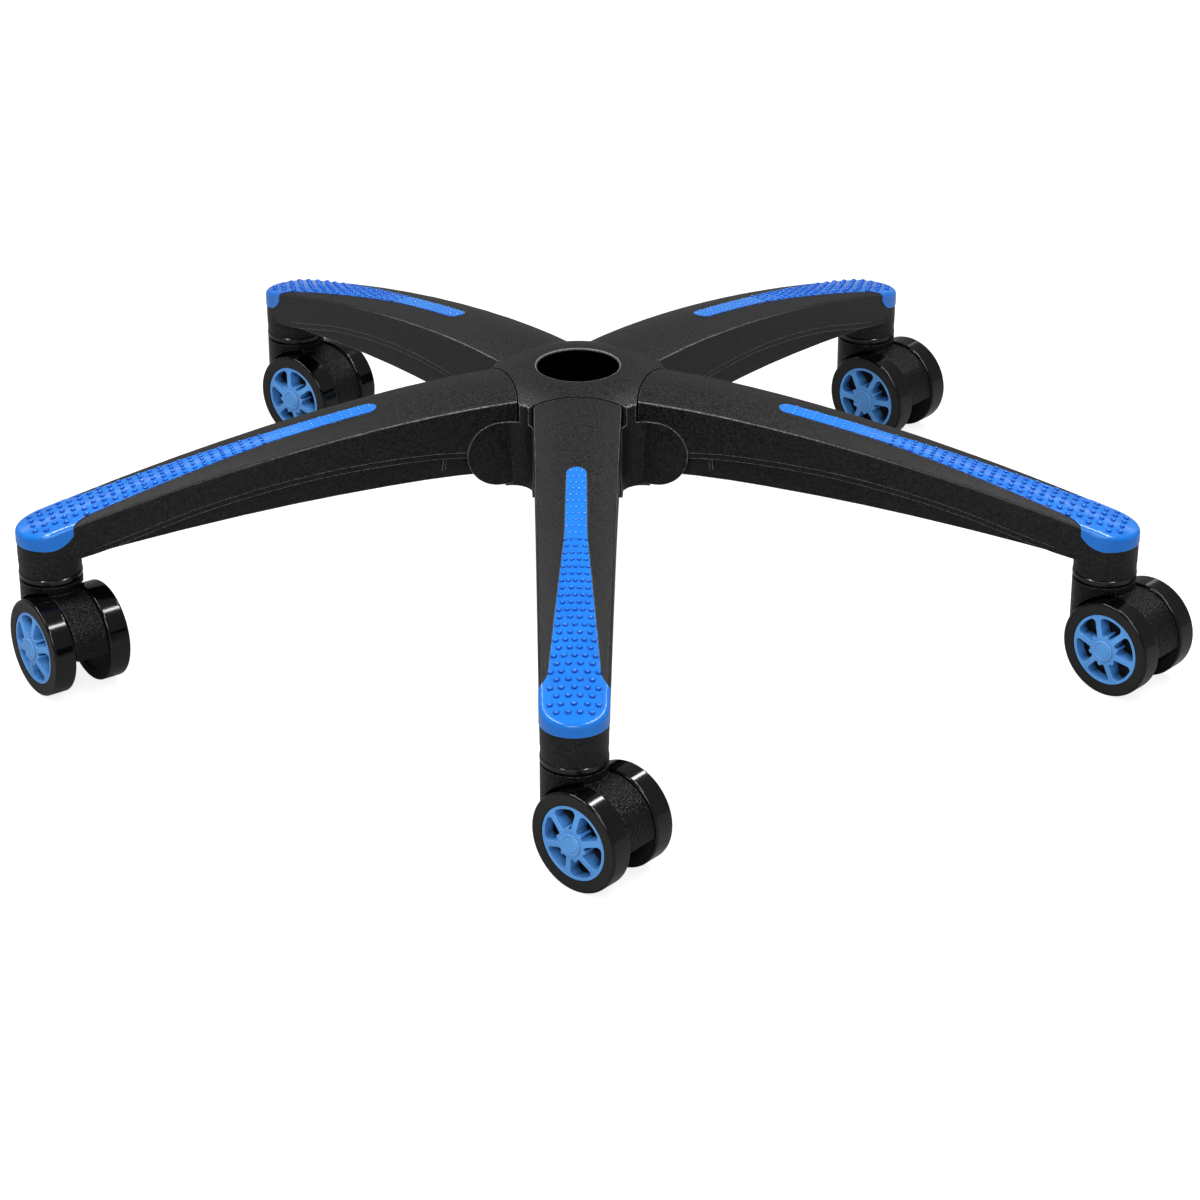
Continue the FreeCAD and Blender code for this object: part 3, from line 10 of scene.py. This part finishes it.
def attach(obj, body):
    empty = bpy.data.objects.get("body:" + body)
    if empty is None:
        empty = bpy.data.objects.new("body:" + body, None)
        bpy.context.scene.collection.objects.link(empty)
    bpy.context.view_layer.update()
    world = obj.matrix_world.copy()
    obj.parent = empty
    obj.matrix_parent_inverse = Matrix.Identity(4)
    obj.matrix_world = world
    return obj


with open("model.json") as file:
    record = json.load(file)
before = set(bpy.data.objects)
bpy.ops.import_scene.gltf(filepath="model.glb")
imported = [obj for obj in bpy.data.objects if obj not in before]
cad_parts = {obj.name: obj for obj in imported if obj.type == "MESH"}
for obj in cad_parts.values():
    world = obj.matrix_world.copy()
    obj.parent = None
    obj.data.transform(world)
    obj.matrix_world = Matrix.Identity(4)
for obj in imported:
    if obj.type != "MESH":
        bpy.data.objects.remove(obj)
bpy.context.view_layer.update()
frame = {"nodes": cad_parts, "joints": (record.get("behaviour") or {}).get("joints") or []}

# Five star chair base with blue inserts and twin wheel casters. Metres and degrees.

MM = 0.001
DOWN = Vector((0, 0, -1))

# The five legs by name, with their bearings about the hub's axis.
LEG_NAMES = ("front", "right", "back_right", "back_left", "left")
LEGS = {leg: -90.0 + 72.0 * place for place, leg in enumerate(LEG_NAMES)}

# The frame's joints by the body that they turn, and how far the casters stand from the hub's axis.
JOINTS = {joint["child"]: joint for joint in frame["joints"]}
SWIVEL_REACH = math.hypot(*JOINTS["caster_front"]["pos_m"][:2])

# Raised dots on an insert. Rows count from the tip inwards, and each row gives the places
# of its dots in millimetres to both sides of the middle line.
DOT_FIRST_REACH = SWIVEL_REACH + 9.3 * MM
DOT_PITCH = 6.18 * MM
DOT_CAP_ROWS = ((3.2, 9.75), (0, 7.2, 13.3), (3.2, 9.75), (0, 7.2, 13.3), (3.2, 9.75), (0, 7.2, 13.2))
DOT_STRIP_ROWS = (
    (3.25, 9.8), (0, 5.85, 11.45), (2.75, 8.7), (0, 5.25, 10.6), (2.7, 8.6), (0, 5.3, 9.7),
    (2.7, 8.6), (0, 4.4, 9.0), (2.3, 7.0), (0, 4.2, 8.2), (2.3, 7.3), (0, 3.9, 7.6),
    (2.1, 6.6), (0, 3.6, 7.1), (2.0, 5.9), (2.1, 6.2), (0, 5.1), (2.05, 6.05),
)
DOT_NECK_ROWS = ((0, 3.4), (1.7, 5.1)) * 5 + ((0, 3.4),)

# Radius and height of the dots on the cap, where the strip meets the neck, and on the neck.
DOT_CAP = (1.55 * MM, 1.25 * MM)
DOT_WAIST = (1.05 * MM, 0.8 * MM)
DOT_NECK = (0.75 * MM, 0.5 * MM)

# A dot's foot is this far below the surface. A power below 1 makes its sides steeper than a ball's.
DOT_SINK = 0.3 * MM
DOT_POWER = 0.75

# Rings up a dot, how many of them are its steep side, and corners round it.
DOT_RINGS = 6
DOT_STEEP = 3
DOT_SIDES = 18

# A dot's material slots: its top, its side in painted shade, and the whole of a small one in painted
# highlight.
SLOT_TOP, SLOT_SIDE, SLOT_SMALL = range(3)

# Rays look down for the inserts' surface from this height.
RAY_START = 0.3

# Seam across each leg's root: an arc whose middle is SEAM_REACH from the hub's axis. It is painted black
# as shade up to SEAM_DARK on each side of the arc, and the paint is gone at SEAM_EDGE.
SEAM_REACH = 43.7 * MM
SEAM_RADIUS = 110 * MM
SEAM_DARK = 0.24 * MM
SEAM_EDGE = 0.48 * MM
SEAM_DEPTH = 0.5 * MM

# The seams fade out between these distances from the hub's axis.
SEAM_END = 54.6 * MM
SEAM_GONE = 55.1 * MM

# The bore is painted black as shade inside this radius, and fades to the hub's own near black at the next
# one.
BORE_DARK = 25.1 * MM
BORE_LIGHT = 25.6 * MM

# Painted highlight on the rim round the bore: full from one radius to the next, and gone at the last.
RIM_FULL = 25.8 * MM
RIM_FADE = 26.2 * MM
RIM_GONE = 26.6 * MM
RIM_STRENGTH = 0.4

# The rounded edges get a strong painted highlight near the hub, which fades along the legs.
HIGHLIGHT_NEAR_REACH = 90 * MM
HIGHLIGHT_FAR_REACH = 230 * MM

# The painted highlight on the edges of the bosses round the casters' stems is weaker than on the other
# ones.
BOSS_START = SWIVEL_REACH - 33.4 * MM
BOSS_FULL = SWIVEL_REACH - 21.4 * MM
BOSS_HIGHLIGHT = 0.15

# Upward part of the surface's normal on a rounded edge: 0 is an upright side, and 1 a flat top.
SHOULDER_FROM, SHOULDER_FULL = 0.25, 0.42
SHOULDER_FADE, SHOULDER_TO = 0.55, 0.72

# The painted highlight on edges starts and is full at these cosines of the angle between the rounded and
# the true normal.
HIGHLIGHT_START = 0.985
HIGHLIGHT_FULL = 0.9

# Most of a noise lies between these two values.
NOISE_LOW = 0.3
NOISE_HIGH = 0.7

# Samples for the rounding of edges and for the painted shade in hollows.
EDGE_SAMPLES = 6
HOLLOW_SAMPLES = 8

# A wheel's matte side ends this far inside its radius, and turns glossy over twice the blur.
TREAD_MARGIN = 1.6 * MM
TREAD_BLUR = 0.3 * MM

# A glow of this strength is white to the camera.
WHITE = 1.0

# Floor: half its side, its colour under the lamps, and the glow that the camera sees near the
# object. Between the two distances from the hub's axis the glow rises to white.
FLOOR_HALF = 6.0
FLOOR_GREY = 0.36
FLOOR_GLOW = 0.84
FLOOR_NEAR = 0.6
FLOOR_FAR = 2.0

# Strength of the world's light on the object. The camera sees a white world.
WORLD_LIGHT = 0.3

# The strips overhead and the lamp in front aim at the middle of the object.
MIDDLE = (0, 0, 0.08)

# Camera, from the photograph's perspective.
CAMERA_PLACE = Vector((0.01693, -2.20499, 1.1016))
CAMERA_PITCH = 26.64
CAMERA_TURN = 0.44
CAMERA_ROLL = -0.159
CAMERA_LENS = 116.78
CAMERA_SENSOR = 36.0
CAMERA_SHIFT = 0.0178


def linear(red, green, blue):
    """An sRGB colour of 0 to 255 as the linear colour that the shaders take."""
    channels = []
    for part in (red, green, blue):
        share = part / 255
        channels.append(share / 12.92 if share <= 0.04045 else ((share + 0.055) / 1.055) ** 2.4)
    return (*channels, 1.0)


def grey(level):
    return linear(level, level, level)


def put_in_scene(name, data):
    """A new object of the scene that holds the data."""
    thing = bpy.data.objects.new(name, data)
    bpy.context.scene.collection.objects.link(thing)
    return thing


class Tree:
    """Short calls for the nodes of a material or of the world."""

    def __init__(self, owner):
        owner.use_nodes = True
        self.nodes = owner.node_tree.nodes
        self.links = owner.node_tree.links

    def feed(self, socket, source):
        """Link an input to another node's output, or set it to a value."""
        if isinstance(source, bpy.types.NodeSocket):
            self.links.new(source, socket)
        else:
            socket.default_value = source

    def add(self, kind, *ordered, **named):
        """A new node. Its inputs come in order, or by name with _ in place of a space."""
        node = self.nodes.new("ShaderNode" + kind)
        for socket, source in zip(node.inputs, ordered):
            self.feed(socket, source)
        for name, source in named.items():
            self.feed(node.inputs[name.replace("_", " ")], source)
        return node

    def math(self, operation, *sources):
        node = self.add("Math", *sources)
        node.operation = operation
        return node.outputs["Value"]

    def times(self, product, *sources):
        """The product of two or more values."""
        for source in sources:
            product = self.math("MULTIPLY", product, source)
        return product

    def vector(self, operation, *sources):
        """The outputs of a vector node, by name: Vector or Value."""
        node = self.add("VectorMath", *sources)
        node.operation = operation
        return node.outputs

    def ramp(self, source, start, end, low=0.0, high=1.0):
        """A value that runs from low to high while source runs from start to end."""
        node = self.add("MapRange", Value=source, From_Min=start, From_Max=end, To_Min=low, To_Max=high)
        return node.outputs["Result"]

    def fade(self, source, start, end, high=1.0, low=0.0):
        """A value that falls from high to low while source runs from start to end."""
        return self.ramp(source, start, end, high, low)


class Shader(Tree):
    """A principled material, with short calls for the looks that the materials share.

    It starts with plain inputs, and links made later take their place.
    """

    def __init__(self, name, **inputs):
        self.material = bpy.data.materials.new(name)
        super().__init__(self.material)
        self.base = self.nodes["Principled BSDF"]
        self.give(**inputs)
        self.place = self.add("TexCoord").outputs["Object"]

    def give(self, **inputs):
        """Link or set inputs of the principled shader, with _ in place of a space."""
        for name, source in inputs.items():
            self.feed(self.base.inputs[name.replace("_", " ")], source)

    def noise(self, scale, detail=2.0, roughness=0.5):
        node = self.add("TexNoise", Vector=self.place, Scale=scale, Detail=detail, Roughness=roughness)
        return node.outputs["Fac"]

    def wander(self, scale, low=0.0, high=1.0, detail=2.0):
        """A value that a noise takes from low to high and back."""
        return self.ramp(self.noise(scale, detail), NOISE_LOW, NOISE_HIGH, low, high)

    def cells(self, scale):
        return self.add("TexVoronoi", Vector=self.place, Scale=scale).outputs["Distance"]

    def mix(self, factor, under, over):
        """The colour over, laid on the colour under by a factor."""
        node = self.nodes.new("ShaderNodeMix")
        node.data_type = "RGBA"
        for name, source in (("Factor", factor), ("A", under), ("B", over)):
            self.feed(node.inputs[name], source)
        return node.outputs["Result"]

    def edges(self, radius):
        """A normal that rounds the edges over a radius, as the mould does."""
        node = self.add("Bevel", Radius=radius)
        node.samples = EDGE_SAMPLES
        return node.outputs["Normal"]

    def surface(self):
        return self.add("NewGeometry").outputs["Normal"]

    def painted_edge_highlight(self, rounded, grain, start=HIGHLIGHT_START, full=HIGHLIGHT_FULL):
        """How much painted highlight a place gets: 1 on an edge, 0 on a face, broken up by a grain of 0 to
        1.
        """
        turn = self.vector("DOT_PRODUCT", rounded, self.surface())["Value"]
        return self.times(self.fade(turn, full, start), grain)

    def hollow_shade(self, distance, open_share, closed_share):
        """How much painted shade a place gets in a groove or corner: 1 inside, 0 in the open."""
        node = self.add("AmbientOcclusion", Distance=distance)
        node.samples = HOLLOW_SAMPLES
        return self.fade(node.outputs["AO"], closed_share, open_share)

    def shoulders(self):
        """1 where the surface leans between flat and upright, as a rounded edge does. The nylon's painted
        edge highlight goes there.
        """
        upward = self.add("SeparateXYZ", self.surface()).outputs["Z"]
        return self.times(self.ramp(upward, SHOULDER_FROM, SHOULDER_FULL),
                          self.fade(upward, SHOULDER_FADE, SHOULDER_TO))

    def plan(self):
        """The place seen from above, and how far it is from the hub's axis."""
        flat = self.vector("MULTIPLY", self.place, (1, 1, 0))["Vector"]
        return flat, self.vector("LENGTH", flat)["Value"]

    def from_axle(self, centre, axis):
        """How far a place is from an axle."""
        offset = self.vector("SUBTRACT", self.place, centre)["Vector"]
        along = self.vector("DOT_PRODUCT", offset, axis)["Value"]
        whole = self.vector("DOT_PRODUCT", offset, offset)["Value"]
        square = self.math("SUBTRACT", whole, self.math("POWER", along, 2.0))
        return self.math("POWER", square, 0.5)

    def seams(self, flat, reach):
        """1 in the seams across the legs' roots."""
        middle = SEAM_REACH + SEAM_RADIUS
        nearest = None
        for bearing in LEGS.values():
            angle = math.radians(bearing)
            centre = (middle * math.cos(angle), middle * math.sin(angle), 0)
            away = self.vector("DISTANCE", flat, centre)["Value"]
            off = self.math("ABSOLUTE", self.math("SUBTRACT", away, SEAM_RADIUS))
            nearest = off if nearest is None else self.math("MINIMUM", nearest, off)
        return self.times(self.fade(nearest, SEAM_DARK, SEAM_EDGE), self.fade(reach, SEAM_END, SEAM_GONE))

    def bump(self, height, distance, strength, under=None):
        """A normal that a height tilts, on top of another normal if there is one."""
        node = self.add("Bump", Height=height, Distance=distance, Strength=strength)
        if under is not None:
            self.feed(node.inputs["Normal"], under)
        return node.outputs["Normal"]


# Materials


def moulded_nylon():
    """Glass filled nylon: near black with a fine grain, speckled painted highlights along the edges and
    round the bore, and painted shade in the grooves, seams and bore.
    """
    shader = Shader("moulded_nylon", Base_Color=linear(16, 16, 17), Roughness=0.4, Specular_IOR_Level=0.36)
    black = grey(0)
    rounded = shader.edges(radius=0.7 * MM)
    flat, reach = shader.plan()
    grain = shader.ramp(shader.noise(scale=700, detail=3, roughness=0.7), start=0.4, end=0.62)
    speck = shader.ramp(shader.noise(scale=1000, detail=1), start=0.4, end=0.6, low=0.25)
    colour = shader.mix(grain, grey(1), grey(34))

    # Painted highlight along the rounded edges, pale and speckled, and weak on the bosses round the
    # casters' stems.
    edge_highlight_by_reach = shader.fade(reach, BOSS_START, BOSS_FULL, low=BOSS_HIGHLIGHT)
    painted_edge_highlight = shader.times(shader.painted_edge_highlight(rounded, speck, start=0.99, full=0.93), edge_highlight_by_reach)
    colour = shader.mix(painted_edge_highlight, colour, linear(176, 176, 174))

    # Painted highlight on the rounded shoulders of the edges, strong near the hub and fading along the
    # legs.
    highlight_near_hub = shader.fade(reach, HIGHLIGHT_NEAR_REACH, HIGHLIGHT_FAR_REACH, high=0.9, low=0.1)
    shoulder_highlight = shader.times(shader.shoulders(), highlight_near_hub, speck)
    # Painted highlight round the bore's rim. It and the shoulders' painted highlight are laid on in pale
    # grey.
    rim_highlight = shader.times(shader.ramp(reach, BORE_LIGHT, RIM_FULL, high=RIM_STRENGTH),
                       shader.fade(reach, RIM_FADE, RIM_GONE))
    colour = shader.mix(shader.math("MAXIMUM", shoulder_highlight, rim_highlight), colour, linear(158, 158, 156))

    # Painted shade in grooves and corners, laid on in black.
    groove_shade = shader.hollow_shade(distance=1.6 * MM, open_share=0.86, closed_share=0.6)
    # The seams and the inside of the bore are painted black as shade, and shine less there.
    seam = shader.seams(flat, reach)
    unlit = shader.math("MAXIMUM", seam, shader.fade(reach, BORE_DARK, BORE_LIGHT))
    colour = shader.mix(unlit, shader.mix(groove_shade, colour, black), black)

    cut = shader.bump(shader.math("SUBTRACT", 1.0, seam), distance=SEAM_DEPTH, strength=0.8,
                      under=rounded)
    ripple = shader.bump(shader.noise(scale=60), distance=0.2 * MM, strength=0.2, under=cut)
    shader.give(Base_Color=colour,
                Specular_IOR_Level=shader.fade(unlit, 0, 1, high=0.28, low=0.02),
                Roughness=shader.wander(scale=700, low=0.36, high=0.56),
                Normal=shader.bump(shader.cells(scale=1000), distance=0.25 * MM, strength=0.4,
                                   under=ripple))
    return shader.material


def glossy_blue():
    """The inserts: deep glossy blue with a faint ripple from the mould."""
    shader = Shader("glossy_blue", Base_Color=linear(16, 116, 228), Roughness=0.2, Specular_IOR_Level=0.5)
    rounded = shader.edges(radius=0.5 * MM)
    # Painted highlight along the rounded edges, broken up by a noise and laid on in pale blue.
    highlight_grain = shader.ramp(shader.noise(scale=350), start=0.35, end=0.65, low=0.1, high=0.6)
    # Painted shade in grooves and corners, such as round the dots' feet, laid on in a darker blue.
    groove_shade = shader.hollow_shade(distance=2.0 * MM, open_share=0.97, closed_share=0.72)
    colour = shader.mix(shader.wander(scale=45), linear(14, 114, 214), linear(20, 126, 226))
    colour = shader.mix(shader.painted_edge_highlight(rounded, highlight_grain), colour, linear(150, 196, 250))
    shader.give(Base_Color=shader.mix(groove_shade, colour, linear(8, 72, 178)),
                Roughness=shader.wander(scale=600, low=0.12, high=0.24, detail=3),
                Normal=shader.bump(shader.noise(scale=380), distance=0.08 * MM, strength=0.5,
                                   under=rounded))
    return shader.material


def dot_blue(name, colour):
    """A copy of the insert's blue in another colour, for the dots' painted shade and painted highlight."""
    return Shader(name, Base_Color=colour, Roughness=0.2, Specular_IOR_Level=0.5).material


def textured_nylon():
    """The caster housings: spark eroded texture on black nylon."""
    shader = Shader("textured_nylon", Base_Color=grey(10), Roughness=0.4, Specular_IOR_Level=0.22)
    rounded = shader.edges(radius=0.6 * MM)
    grain = shader.cells(scale=850)
    speck = shader.ramp(shader.noise(scale=1000, detail=1), start=0.42, end=0.62, high=0.8)
    colour = shader.mix(shader.ramp(grain, start=0.1, end=0.55), grey(18), grey(1))
    coarse = shader.bump(grain, distance=0.5 * MM, strength=0.9, under=rounded)
    # Speckled painted highlight along the rounded edges, in grey.
    shader.give(Base_Color=shader.mix(shader.painted_edge_highlight(rounded, speck), colour, grey(100)),
                Roughness=shader.wander(scale=900, low=0.24, high=0.42),
                Normal=shader.bump(shader.noise(scale=2400), distance=0.06 * MM, strength=0.5,
                                   under=coarse))
    return shader.material


def glossy_black():
    """The rings above the casters."""
    shader = Shader("glossy_black", Base_Color=linear(10, 10, 11), Roughness=0.16, Specular_IOR_Level=0.5)
    rounded = shader.edges(radius=0.3 * MM)
    shader.give(Roughness=shader.wander(scale=500, low=0.12, high=0.22),
                Normal=shader.bump(shader.noise(scale=300), distance=0.03 * MM, strength=0.3,
                                   under=rounded))
    return shader.material


def tread_black(name, spin):
    """A wheel: glossy tread, matte sides. The distance from the axle decides which."""
    shader = Shader(name, Base_Color=grey(14), Roughness=0.2, Specular_IOR_Level=0.4)
    wheel_radius = spin["pos_m"][2]
    matte_inside = wheel_radius - TREAD_MARGIN
    radius = shader.from_axle(spin["pos_m"], spin["axis"])
    tread = shader.ramp(radius, matte_inside - TREAD_BLUR, matte_inside + TREAD_BLUR)
    gloss = shader.fade(tread, 0, 1, high=0.5, low=0.1)
    shader.give(Base_Color=shader.mix(tread, linear(24, 23, 22), grey(3)),
                Roughness=shader.times(gloss, shader.wander(scale=800, low=0.9, high=1.15)),
                Normal=shader.bump(shader.noise(scale=900), distance=0.03 * MM, strength=0.3))
    return shader.material


def satin_blue():
    """The wheel covers: a softer, paler blue than the inserts."""
    shader = Shader("satin_blue", Base_Color=linear(78, 148, 226), Roughness=0.36, Specular_IOR_Level=0.5)
    rounded = shader.edges(radius=0.4 * MM)
    # Painted shade deep in the windows and corners, laid on in a dark blue.
    window_shade = shader.hollow_shade(distance=9.0 * MM, open_share=0.66, closed_share=0.42)
    colour = shader.mix(shader.wander(scale=60), linear(84, 160, 238), linear(98, 172, 248))
    # Painted highlight along the rounded edges, laid on in pale blue.
    painted_edge_highlight = shader.painted_edge_highlight(rounded, shader.wander(scale=500, low=0.45, high=0.9))
    colour = shader.mix(painted_edge_highlight, colour, linear(178, 212, 248))
    shader.give(Base_Color=shader.mix(window_shade, colour, linear(5, 18, 54)),
                Roughness=shader.wander(scale=700, low=0.3, high=0.42),
                Normal=shader.bump(shader.noise(scale=600), distance=0.04 * MM, strength=0.35,
                                   under=rounded))
    return shader.material


def bright_steel():
    """Turned and plated steel."""
    shader = Shader("bright_steel", Base_Color=linear(190, 190, 193), Roughness=0.3, Metallic=1.0)
    shader.give(Roughness=shader.wander(scale=400, low=0.24, high=0.4, detail=4),
                Normal=shader.bump(shader.noise(scale=1400), distance=0.02 * MM, strength=0.4))
    return shader.material


def dress(name, material):
    """Give a CAD node its material."""
    node = frame["nodes"][name]
    for slot in node.material_slots:
        slot.material = material
    if not node.material_slots:
        node.data.materials.append(material)


nylon = moulded_nylon()
blue = glossy_blue()
housing = textured_nylon()
ring = glossy_black()
cover = satin_blue()
steel = bright_steel()

# Painted shade on the dots' steep sides, and a painted highlight over the small dots on the neck.
shaded_blue = dot_blue("dot_side", linear(10, 82, 192))
highlight_blue = dot_blue("dot_pale", linear(74, 156, 244))

dress("star_base", nylon)
for leg in LEGS:
    dress("insert_" + leg, blue)
    dress("caster_housing_" + leg, housing)
    dress("swivel_cap_" + leg, ring)
    for kind in ("caster_stem_", "stem_grip_ring_", "caster_axle_"):
        dress(kind + leg, steel)
    for number in (1, 2):
        wheel = "%s_%d" % (leg, number)
        dress("wheel_" + wheel, tread_black("tread_" + wheel, JOINTS["roller_" + wheel]))
        dress("wheel_cover_" + wheel, cover)


# Dots on the inserts


def dome(mesh, place, normal, radius, height):
    """A rounded dot on the surface, its foot a little below it."""
    small = radius < DOT_WAIST[0]
    turn = normal.to_track_quat("Z", "Y").to_matrix().to_4x4()
    where = Matrix.Translation(place) @ turn
    rings = []
    for step in range(DOT_RINGS):
        angle = math.pi / 2 * step / DOT_RINGS
        reach = radius * math.cos(angle) ** DOT_POWER
        lift = height * math.sin(angle) ** DOT_POWER if step else -DOT_SINK
        circle = []
        for side in range(DOT_SIDES):
            bearing = 2 * math.pi * side / DOT_SIDES
            spot = Vector((reach * math.cos(bearing), reach * math.sin(bearing), lift))
            circle.append(mesh.verts.new(where @ spot))
        rings.append(circle)
    top = mesh.verts.new(where @ Vector((0, 0, height)))
    for step, (low, high) in enumerate(zip(rings, rings[1:])):
        # The steep rings take the painted shade, and a small dot is painted highlight all over.
        slot = SLOT_SIDE if step < DOT_STEEP else SLOT_TOP
        for side in range(DOT_SIDES):
            after = (side + 1) % DOT_SIDES
            face = mesh.faces.new((low[side], low[after], high[after], high[side]))
            face.material_index = SLOT_SMALL if small else slot
    last = rings[-1]
    for side in range(DOT_SIDES):
        face = mesh.faces.new((last[side], last[(side + 1) % DOT_SIDES], top))
        face.material_index = SLOT_SMALL if small else SLOT_TOP
    mesh.faces.new(list(reversed(rings[0])))


def dot_rows():
    """Reach, places across, radius and height of the dots of each row."""
    strip_start = len(DOT_CAP_ROWS)
    strip_last = strip_start + len(DOT_STRIP_ROWS) - 1
    for row, offsets in enumerate(DOT_CAP_ROWS + DOT_STRIP_ROWS + DOT_NECK_ROWS):
        reach = DOT_FIRST_REACH - DOT_PITCH * row
        if row < strip_start:
            radius, height = DOT_CAP
        elif row <= strip_last:
            share = (row - strip_start) / (strip_last - strip_start)
            radius, height = (cap + (waist - cap) * share for cap, waist in zip(DOT_CAP, DOT_WAIST))
        else:
            radius, height = DOT_NECK
        sides = sorted({sign * offset * MM for offset in offsets for sign in (-1, 1)})
        yield reach, sides, radius, height


def insert_tree(leg):
    """The insert's surface, for rays."""
    node = frame["nodes"]["insert_" + leg]
    corners = [vertex.co for vertex in node.data.vertices]
    faces = [tuple(polygon.vertices) for polygon in node.data.polygons]
    return BVHTree.FromPolygons(corners, faces)


def add_dots(leg):
    """The staggered rows of dots on one insert."""
    tree = insert_tree(leg)
    bearing = math.radians(LEGS[leg])
    out = Vector((math.cos(bearing), math.sin(bearing), 0))
    across = Vector((-out.y, out.x, 0))
    mesh = bmesh.new()
    for reach, sides, radius, height in dot_rows():
        for side in sides:
            spot = out * reach + across * side
            place, normal = tree.ray_cast(Vector((spot.x, spot.y, RAY_START)), DOWN)[:2]
            dome(mesh, place, normal, radius, height)
    data = bpy.data.meshes.new("dots_" + leg)
    mesh.normal_update()
    mesh.to_mesh(data)
    mesh.free()
    for polygon in data.polygons:
        polygon.use_smooth = True
    for material in (blue, shaded_blue, highlight_blue):
        data.materials.append(material)
    dots = put_in_scene("dots_" + leg, data)
    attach(dots, "base")


for leg in LEGS:
    add_dots(leg)


# Floor, light and camera


def pale_floor():
    """Shows near white to the camera and keeps the shadow."""
    material = bpy.data.materials.new("pale_floor")
    tree = Tree(material)
    tree.nodes.clear()
    away = tree.vector("LENGTH", tree.add("TexCoord").outputs["Object"])["Value"]
    shown = tree.ramp(away, FLOOR_NEAR, FLOOR_FAR, low=FLOOR_GLOW, high=WHITE)
    seen = tree.add("LightPath").outputs["Is Camera Ray"]
    diffuse = tree.add("BsdfDiffuse", Color=(FLOOR_GREY, FLOOR_GREY, FLOOR_GREY, 1))
    glow = tree.add("Emission", Strength=tree.times(seen, shown))
    both = tree.add("AddShader", diffuse.outputs["BSDF"], glow.outputs["Emission"])
    tree.add("OutputMaterial", Surface=both.outputs["Shader"])
    return material


def add_floor():
    """A plain floor at the wheels' feet."""
    corners = [(x * FLOOR_HALF, y * FLOOR_HALF, 0) for x, y in ((-1, -1), (1, -1), (1, 1), (-1, 1))]
    data = bpy.data.meshes.new("floor")
    data.from_pydata(corners, [], [(0, 1, 2, 3)])
    data.materials.append(pale_floor())
    floor = put_in_scene("floor", data)


def add_light(name, place, target, width, height, power):
    """A lamp with a rectangular face that looks at its target."""
    data = bpy.data.lights.new(name, "AREA")
    data.shape = "RECTANGLE"
    data.size = width
    data.size_y = height
    data.energy = power
    lamp = put_in_scene(name, data)
    lamp.location = place
    lamp.rotation_euler = (Vector(target) - Vector(place)).to_track_quat("-Z", "Y").to_euler()


def add_world():
    """An even light from all sides, which the camera sees as white."""
    world = bpy.data.worlds.new("studio")
    bpy.context.scene.world = world
    tree = Tree(world)
    background = tree.nodes["Background"]
    seen = tree.add("LightPath").outputs["Is Camera Ray"]
    tree.feed(background.inputs["Color"], (1, 1, 1, 1))
    tree.feed(background.inputs["Strength"], tree.ramp(seen, 0, 1, low=WORLD_LIGHT, high=WHITE))


def add_camera():
    """The camera, at the photograph's viewing angle."""
    data = bpy.data.cameras.new("camera")
    data.lens = CAMERA_LENS
    data.sensor_width = CAMERA_SENSOR
    data.shift_x = CAMERA_SHIFT
    camera = put_in_scene("camera", data)
    turn = Matrix.Rotation(math.radians(CAMERA_TURN), 4, "Z")
    pitch = Matrix.Rotation(math.radians(90 - CAMERA_PITCH), 4, "X")
    roll = Matrix.Rotation(math.radians(CAMERA_ROLL), 4, "Z")
    camera.matrix_world = Matrix.Translation(CAMERA_PLACE) @ turn @ pitch @ roll
    bpy.context.scene.camera = camera


add_floor()
add_world()
for name, side in (("strip_left", -1), ("strip_right", 1)):
    add_light(name, place=(side * 1.0, 0.0, 2.0), target=MIDDLE, width=2.6, height=0.14, power=32)
    add_light(name + "_behind", place=(side * 1.15, 2.05, 1.4), target=(side * 0.3, 0, 0.1),
              width=0.8, height=0.2, power=1)
add_light("front", place=(-0.3, -2.5, 1.5), target=MIDDLE, width=1.5, height=1.0, power=23)
add_camera()
bpy.context.scene.view_settings.view_transform = "Standard"
